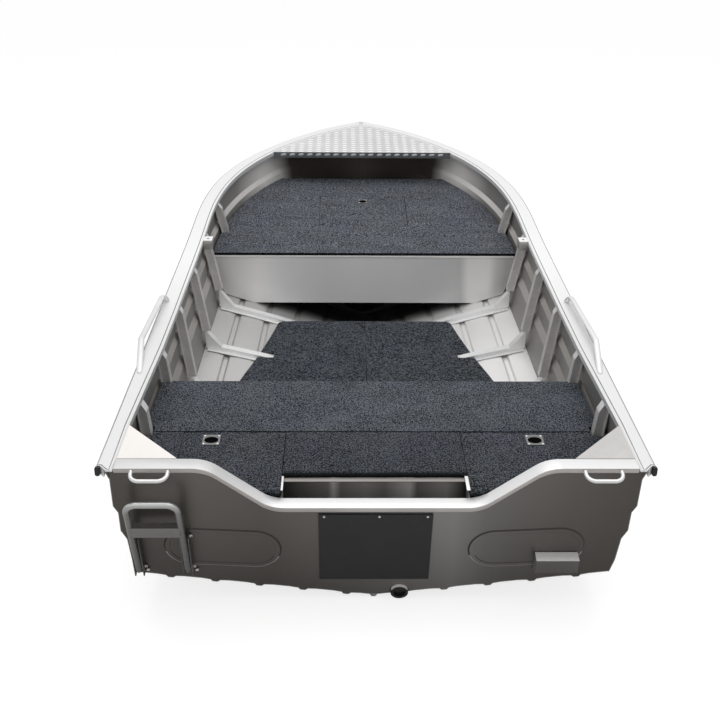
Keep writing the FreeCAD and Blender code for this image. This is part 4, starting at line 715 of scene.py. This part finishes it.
def dressFittings():
    dress("motor_pad", "pad", bevel=0.0015, flat=True)
    dress("motor_pad_inside", "pad", bevel=0.0015, flat=True)
    dress("ladder", "ladder", "ladder", smooth=40)
    reshape(dress("ladder_brackets", "bracket", smooth=35), bracketShort)
    bracket = dress("transducer_bracket", "transducer", bevel=0.0008, flat=True)
    # the bracket's top faces painted pale as a highlight
    paintFaces(bracket, "edgeStrip", lambda normal, centre: normal.z > paintFrom["bracketTop"])
    drain = dress("drain_fitting", "plastic", smooth=40)
    middle = paintFrom["drainMiddle"] - hull["draft"]
    # the drain's upper top faces painted pale as a highlight
    paintFaces(drain, "edgeStrip",
               lambda normal, centre: normal.z > paintFrom["drainTop"] and centre.z > middle)
    dress("bow_eye", "steel", smooth=40)


for side, way in ways.items():
    dressSide(side, way)
dressHull()
dressInside()
dressFittings()
print("nodes dressed")


def freeze(name):
    # the piece just made, its place and turn written into its mesh
    piece = bpy.context.object
    piece.name = name
    bpy.ops.object.transform_apply(location=True, rotation=True, scale=True)
    return piece


def block(name, place, sizes, turn=(0, 0, 0)):
    # the start of a folded or pressed piece, at its size and place
    deselect()
    bpy.ops.mesh.primitive_cube_add(size=1, location=place, rotation=turn)
    bpy.context.object.scale = sizes
    return freeze(name)


# The splash well's front wall stops under the board and is folded aft into a pale flange
wellWall = {"fold": 0.464, "front": 0.1837, "flange": 0.021, "half": 0.3107, "ends": 0.002, "gauge": 0.003,
            "edge": 0.001}


def foldWellWall():
    wall = dress("well_wall", "well", flat=True)
    top = wellWall["fold"] - hull["draft"]
    reshape(wall, lambda corner: Vector((corner.x, corner.y, min(corner.z, top))))
    place = inRow(0, wellWall["front"] - wellWall["flange"] / 2 - wellWall["gauge"],
                  wellWall["fold"] - wellWall["gauge"] / 2)
    sizes = (2 * (wellWall["half"] - wellWall["ends"]), wellWall["flange"], wellWall["gauge"])
    flange = block("wellFlange", place, sizes)
    applyModifier(flange, "BEVEL", width=wellWall["edge"], segments=2)
    settle(flange, "wellFlange")


foldWellWall()

# Screws and bolts: a pan head with a driver's recess
# rim and recess are shares of its radius, crown and sink of its height
screwForm = {"sides": 14, "proud": 0.0016, "rim": 0.3, "crown": 0.4, "recess": 0.25, "sink": 0.7,
             "smooth": 50}
padScrews = {"out": 0.0075, "radius": 0.0042, "places": ((-0.17, 0.4085), (0.012, 0.4085), (0.171, 0.4085))}
ladderBolts = {"out": 0.006, "radius": 0.0062,
               "places": ((-0.781, 0.168), (-0.775, 0.15), (-0.615, 0.167), (-0.608, 0.149), (-0.615, 0.318))}


def screw(name, place, turn, radius, finish, body="hull", proud=screwForm["proud"]):
    deselect()
    bpy.ops.mesh.primitive_cylinder_add(vertices=screwForm["sides"], radius=radius, depth=proud * 2,
                                        location=place, rotation=turn)
    piece = freeze(name)
    heading = Matrix.Rotation(turn[0], 3, "X") @ Vector((0, 0, 1))
    selectFaces(piece, lambda normal: normal.dot(heading) > facing)
    insetFaces((radius * screwForm["rim"], proud * screwForm["crown"]),
               (radius * screwForm["recess"], -proud * screwForm["sink"]))
    softenEdges(piece, screwForm["smooth"])
    return settle(piece, finish, body)


def transomScrews(name, form):
    for index, (x, height) in enumerate(form["places"]):
        screw(name + str(index), onTransom(x, height, form["out"]), (rakeTurn, 0, 0), form["radius"],
              "steel")


transomScrews("padScrew", padScrews)


def latchDetail(name, centre, slope, kind, body):
    wide, long = latchParts[kind]
    turn = (slope, 0, 0)
    ring = block(name + "Frame", centre, (wide, long, latchParts["high"]), turn)
    selectFaces(ring, lambda normal: normal.z > facing)
    insetFaces((latchParts["rim"] * wide, 0), (latchParts["fold"], -latchParts["high"] * latchParts["deep"]))
    inner = [face.select for face in ring.data.polygons].index(True)
    settle(ring, "latch", body)
    # the recess floor painted a little darker as shade
    ring.data.materials.append(finishes["latchRecessShade"])
    ring.data.polygons[inner].material_index = 1
    deselect()
    bpy.ops.mesh.primitive_cylinder_add(vertices=latchParts["cupSides"], radius=1,
                                        depth=latchParts["cupHigh"], location=centre, rotation=turn)
    bpy.context.object.scale = (latchParts["cup"] * wide, latchParts["cupLong"] * long, 1)
    cup = freeze(name + "Cup")
    applyModifier(cup, "BEVEL", width=latchParts["cupEdge"], segments=2)
    # the cup painted near-black as shade
    settle(cup, "void", body)
    for index in range(4):
        x = latchParts["corner"] * wide * (1 if index % 2 else -1)
        y = latchParts["corner"] * long * (1 if index > 1 else -1)
        place = centre + Vector((x, y * math.cos(slope), y * math.sin(slope) + latchParts["high"] / 2))
        # the latch screws painted near-white as glints
        screw(name + "Screw" + str(index), place, turn, wide * latchParts["screw"], "edgeStrip",
              body, latchParts["screwProud"])


# Where the latches lie: astern in the shared frame, in the bow along the sloping deck from its aft edge
sternLatch = (0.577, -1.292, 0.3827)
bowLatch = {"lidFront": 2.994, "inset": 0.074, "deckAft": 2.221, "level": 0.4846, "climb": 0.055}
for side, way in ways.items():
    x, y, z = sternLatch
    latchDetail("latch_" + side + "_", Vector((way * x, y, z)), 0, "stern", "stern_lid_" + side)
bowSlope = math.atan(bowLatch["climb"])
bowRun = bowLatch["lidFront"] - bowLatch["inset"] - bowLatch["deckAft"]
latchDetail("latch_bow_", inRow(0, bowLatch["deckAft"] + bowRun * math.cos(bowSlope),
                                bowLatch["level"] + bowRun * math.sin(bowSlope)), bowSlope, "bow", "bow_lid")

# Folded edges painted pale as highlights: over the bow riser and along the splash well's ends
edgeStrips = {"riser": (1.53, 0.003, 0.0095), "riserPlace": (0, 0.5188, 0.3712), "wellLong": 0.084,
              "wellHigh": 0.003, "wellWide": {"starboard": 0.012, "port": 0.007},
              "wellPlace": (0.3145, -1.56, 0.3775), "edge": 0.3, "smooth": 40}


def edgeStrip(name, place, sizes):
    strip = block(name, place, sizes)
    applyModifier(strip, "BEVEL", width=min(sizes) * edgeStrips["edge"], segments=2)
    softenEdges(strip, edgeStrips["smooth"])
    settle(strip, "edgeStrip")


edgeStrip("riserEdge", edgeStrips["riserPlace"], edgeStrips["riser"])
for side, way in ways.items():
    wide = edgeStrips["wellWide"][side]
    x, y, z = edgeStrips["wellPlace"]
    edgeStrip("wellEdge_" + side, (way * (x - wide / 2), y, z),
              (wide, edgeStrips["wellLong"], edgeStrips["wellHigh"]))

transomScrews("ladderBolt", ladderBolts)

# Raised bars of the foredeck's tread plate, in columns that run on over its folded lip, painted pale as
# glints
# clear is a share of a bar's length, and lift and lipLift are shares of its height
treadBars = {"sides": 8, "long": 0.034, "wide": 0.016, "high": 0.0018, "taper": (0.75, 0.5, 1),
             "across": 0.051, "along": 0.034, "margin": 0.016, "turn": 9, "lip": 0.614, "aftBand": 0.02,
             "middle": 0.001, "clear": 0.6, "lift": 0.3, "lipLift": 0.1}


def treadBar(name):
    deselect()
    bpy.ops.mesh.primitive_cylinder_add(vertices=treadBars["sides"], radius=0.5, depth=1)
    bpy.context.object.scale = (treadBars["long"], treadBars["wide"], treadBars["high"])
    bar = freeze(name)
    selectFaces(bar, lambda normal: normal.z > facing)
    bpy.ops.object.mode_set(mode="EDIT")
    bpy.ops.transform.resize(value=treadBars["taper"])
    bpy.ops.object.mode_set(mode="OBJECT")
    return bar


def spread(bar, turns, finish):
    # a copy of the bar at every place, joined to one mesh
    copies = []
    for turn in turns:
        copy = bar.copy()
        copy.data = bar.data.copy()
        bpy.context.scene.collection.objects.link(copy)
        copy.data.transform(turn)
        copies.append(copy)
    name = bar.name
    bpy.data.objects.remove(bar)
    deselect()
    for copy in copies:
        copy.select_set(True)
    bpy.context.view_layer.objects.active = copies[0]
    bpy.ops.object.join()
    bpy.context.object.name = name
    settle(bpy.context.object, finish)
    print(name, len(copies))


def treadPattern():
    corners = [nodes["foredeck"].matrix_world @ corner.co for corner in nodes["foredeck"].data.vertices]
    aft = min(corner.y for corner in corners)
    fore = max(corner.y for corner in corners)
    topAft = max(corner.z for corner in corners if corner.y < aft + treadBars["aftBand"])
    slope = (max(corner.z for corner in corners) - topAft) / (fore - aft)
    rim = sorted((corner.y, abs(corner.x)) for corner in corners if abs(corner.x) > treadBars["middle"])

    def reach(y):
        # half width of the deck at this station, between the rim's corners either side
        before = [place for place in rim if place[0] <= y]
        after = [place for place in rim if place[0] > y]
        if not after:
            return 0
        low = max(place for place in before if place[1] >= max(after)[1])
        high = min(after)
        return low[1] + (high[1] - low[1]) * (y - low[0]) / (high[0] - low[0])

    def columns(half):
        # where the bars of one row lie, either side of the centreline
        count = int(max(half, 0) / treadBars["across"])
        return [column * treadBars["across"] for column in range(-count, count + 1)]

    tilt = Matrix.Rotation(math.radians(treadBars["turn"]), 4, "Z")
    lean = Matrix.Rotation(math.atan(slope), 4, "X")
    turns = []
    for row in range(int((fore - aft) / treadBars["along"])):
        y = aft + treadBars["margin"] + row * treadBars["along"]
        z = topAft + (y - aft) * slope + treadBars["high"] * treadBars["lift"]
        for x in columns(reach(y) - treadBars["clear"] * treadBars["long"]):
            turns.append(Matrix.Translation((x, y, z)) @ lean @ tilt)
    spread(treadBar("treadBars"), turns, "treadBar")
    upright = Matrix.Rotation(math.radians(90), 4, "X")
    y = aft - treadBars["high"] * treadBars["lipLift"]
    spread(treadBar("treadLipBars"),
           [Matrix.Translation((x, y, treadBars["lip"])) @ upright @ tilt
            for x in columns(reach(aft + treadBars["aftBand"]))], "treadLipBar")


treadPattern()
print("details added")

# Floor, light and camera: lengths in metres, lamp in watts, and levels where a strength of 1 is white
stage = {"floorWide": 60, "floorDrop": 0.003, "floorColour": (0.94, 0.94, 0.94, 1), "white": (1, 1, 1, 1),
         "whiteShare": 0.5, "whiteLevel": 1.5, "skyLevel": 0.5, "lampPlace": (0.2, -0.2, 4.2),
         "lampWide": 5.5, "lampWatts": 110}


def paleFloor():
    look = Look("paleFloor")
    shade = look.add("ShaderNodeBsdfDiffuse", None, {"Color": stage["floorColour"]})
    glow = look.add("ShaderNodeEmission", None, {"Color": stage["white"], "Strength": stage["whiteLevel"]})
    seen = look.add("ShaderNodeLightPath", output="Is Camera Ray")
    mixed = look.add("ShaderNodeMixShader", None, {"Fac": seen * stage["whiteShare"], 1: shade, 2: glow})
    look.plug(look.tree.nodes["Material Output"].inputs["Surface"], mixed)
    deselect()
    bpy.ops.mesh.primitive_plane_add(size=stage["floorWide"], location=(0, 0, cadLow.z - stage["floorDrop"]))
    floor = bpy.context.object
    floor.name = "paleFloor"
    floor.data.materials.append(look.material)


def skyWorld():
    # white where the camera or a reflection sees it, softer as a light
    world = bpy.data.worlds.new("studioSky")
    bpy.context.scene.world = world
    world.use_nodes = True
    sky = Graph(world.node_tree)
    direct = sky.add("ShaderNodeLightPath", output="Is Camera Ray")
    mirrored = sky.add("ShaderNodeLightPath", output="Is Glossy Ray")
    background = sky.tree.nodes["Background"]
    background.inputs["Color"].default_value = stage["white"]
    sky.plug(background.inputs["Strength"], sky.between(direct + mirrored, 0, 1, stage["skyLevel"], 1))


def softLamp():
    deselect()
    bpy.ops.object.light_add(type="AREA", location=stage["lampPlace"])
    lamp = bpy.context.object
    lamp.data.shape = "SQUARE"
    lamp.data.size = stage["lampWide"]
    lamp.data.energy = stage["lampWatts"]


# Where the photograph was taken from: place in metres, angles in degrees, lens in millimetres
photoCamera = {"place": (-0.108, -4.497, 2.341), "yaw": 1.024, "down": 27.065, "roll": 0.574, "lens": 52.499}


def photoView():
    yaw = math.radians(photoCamera["yaw"])
    down = math.radians(photoCamera["down"])
    roll = math.radians(photoCamera["roll"])
    forward = Vector((math.sin(yaw) * math.cos(down), math.cos(yaw) * math.cos(down), -math.sin(down)))
    right = Vector((math.cos(yaw), -math.sin(yaw), 0))
    up = right.cross(forward)
    rolledRight = right * math.cos(roll) + up * math.sin(roll)
    rolledUp = up * math.cos(roll) - right * math.sin(roll)
    camera = bpy.data.objects.new("photoCamera", bpy.data.cameras.new("photoCamera"))
    bpy.context.scene.collection.objects.link(camera)
    camera.data.lens = photoCamera["lens"]
    turned = Matrix((rolledRight, rolledUp, -forward)).transposed()
    camera.matrix_world = Matrix.Translation(photoCamera["place"]) @ turned.to_4x4()
    bpy.context.scene.camera = camera


paleFloor()
skyWorld()
softLamp()
photoView()
bpy.context.scene.view_settings.view_transform = "Standard"
print("stage set")
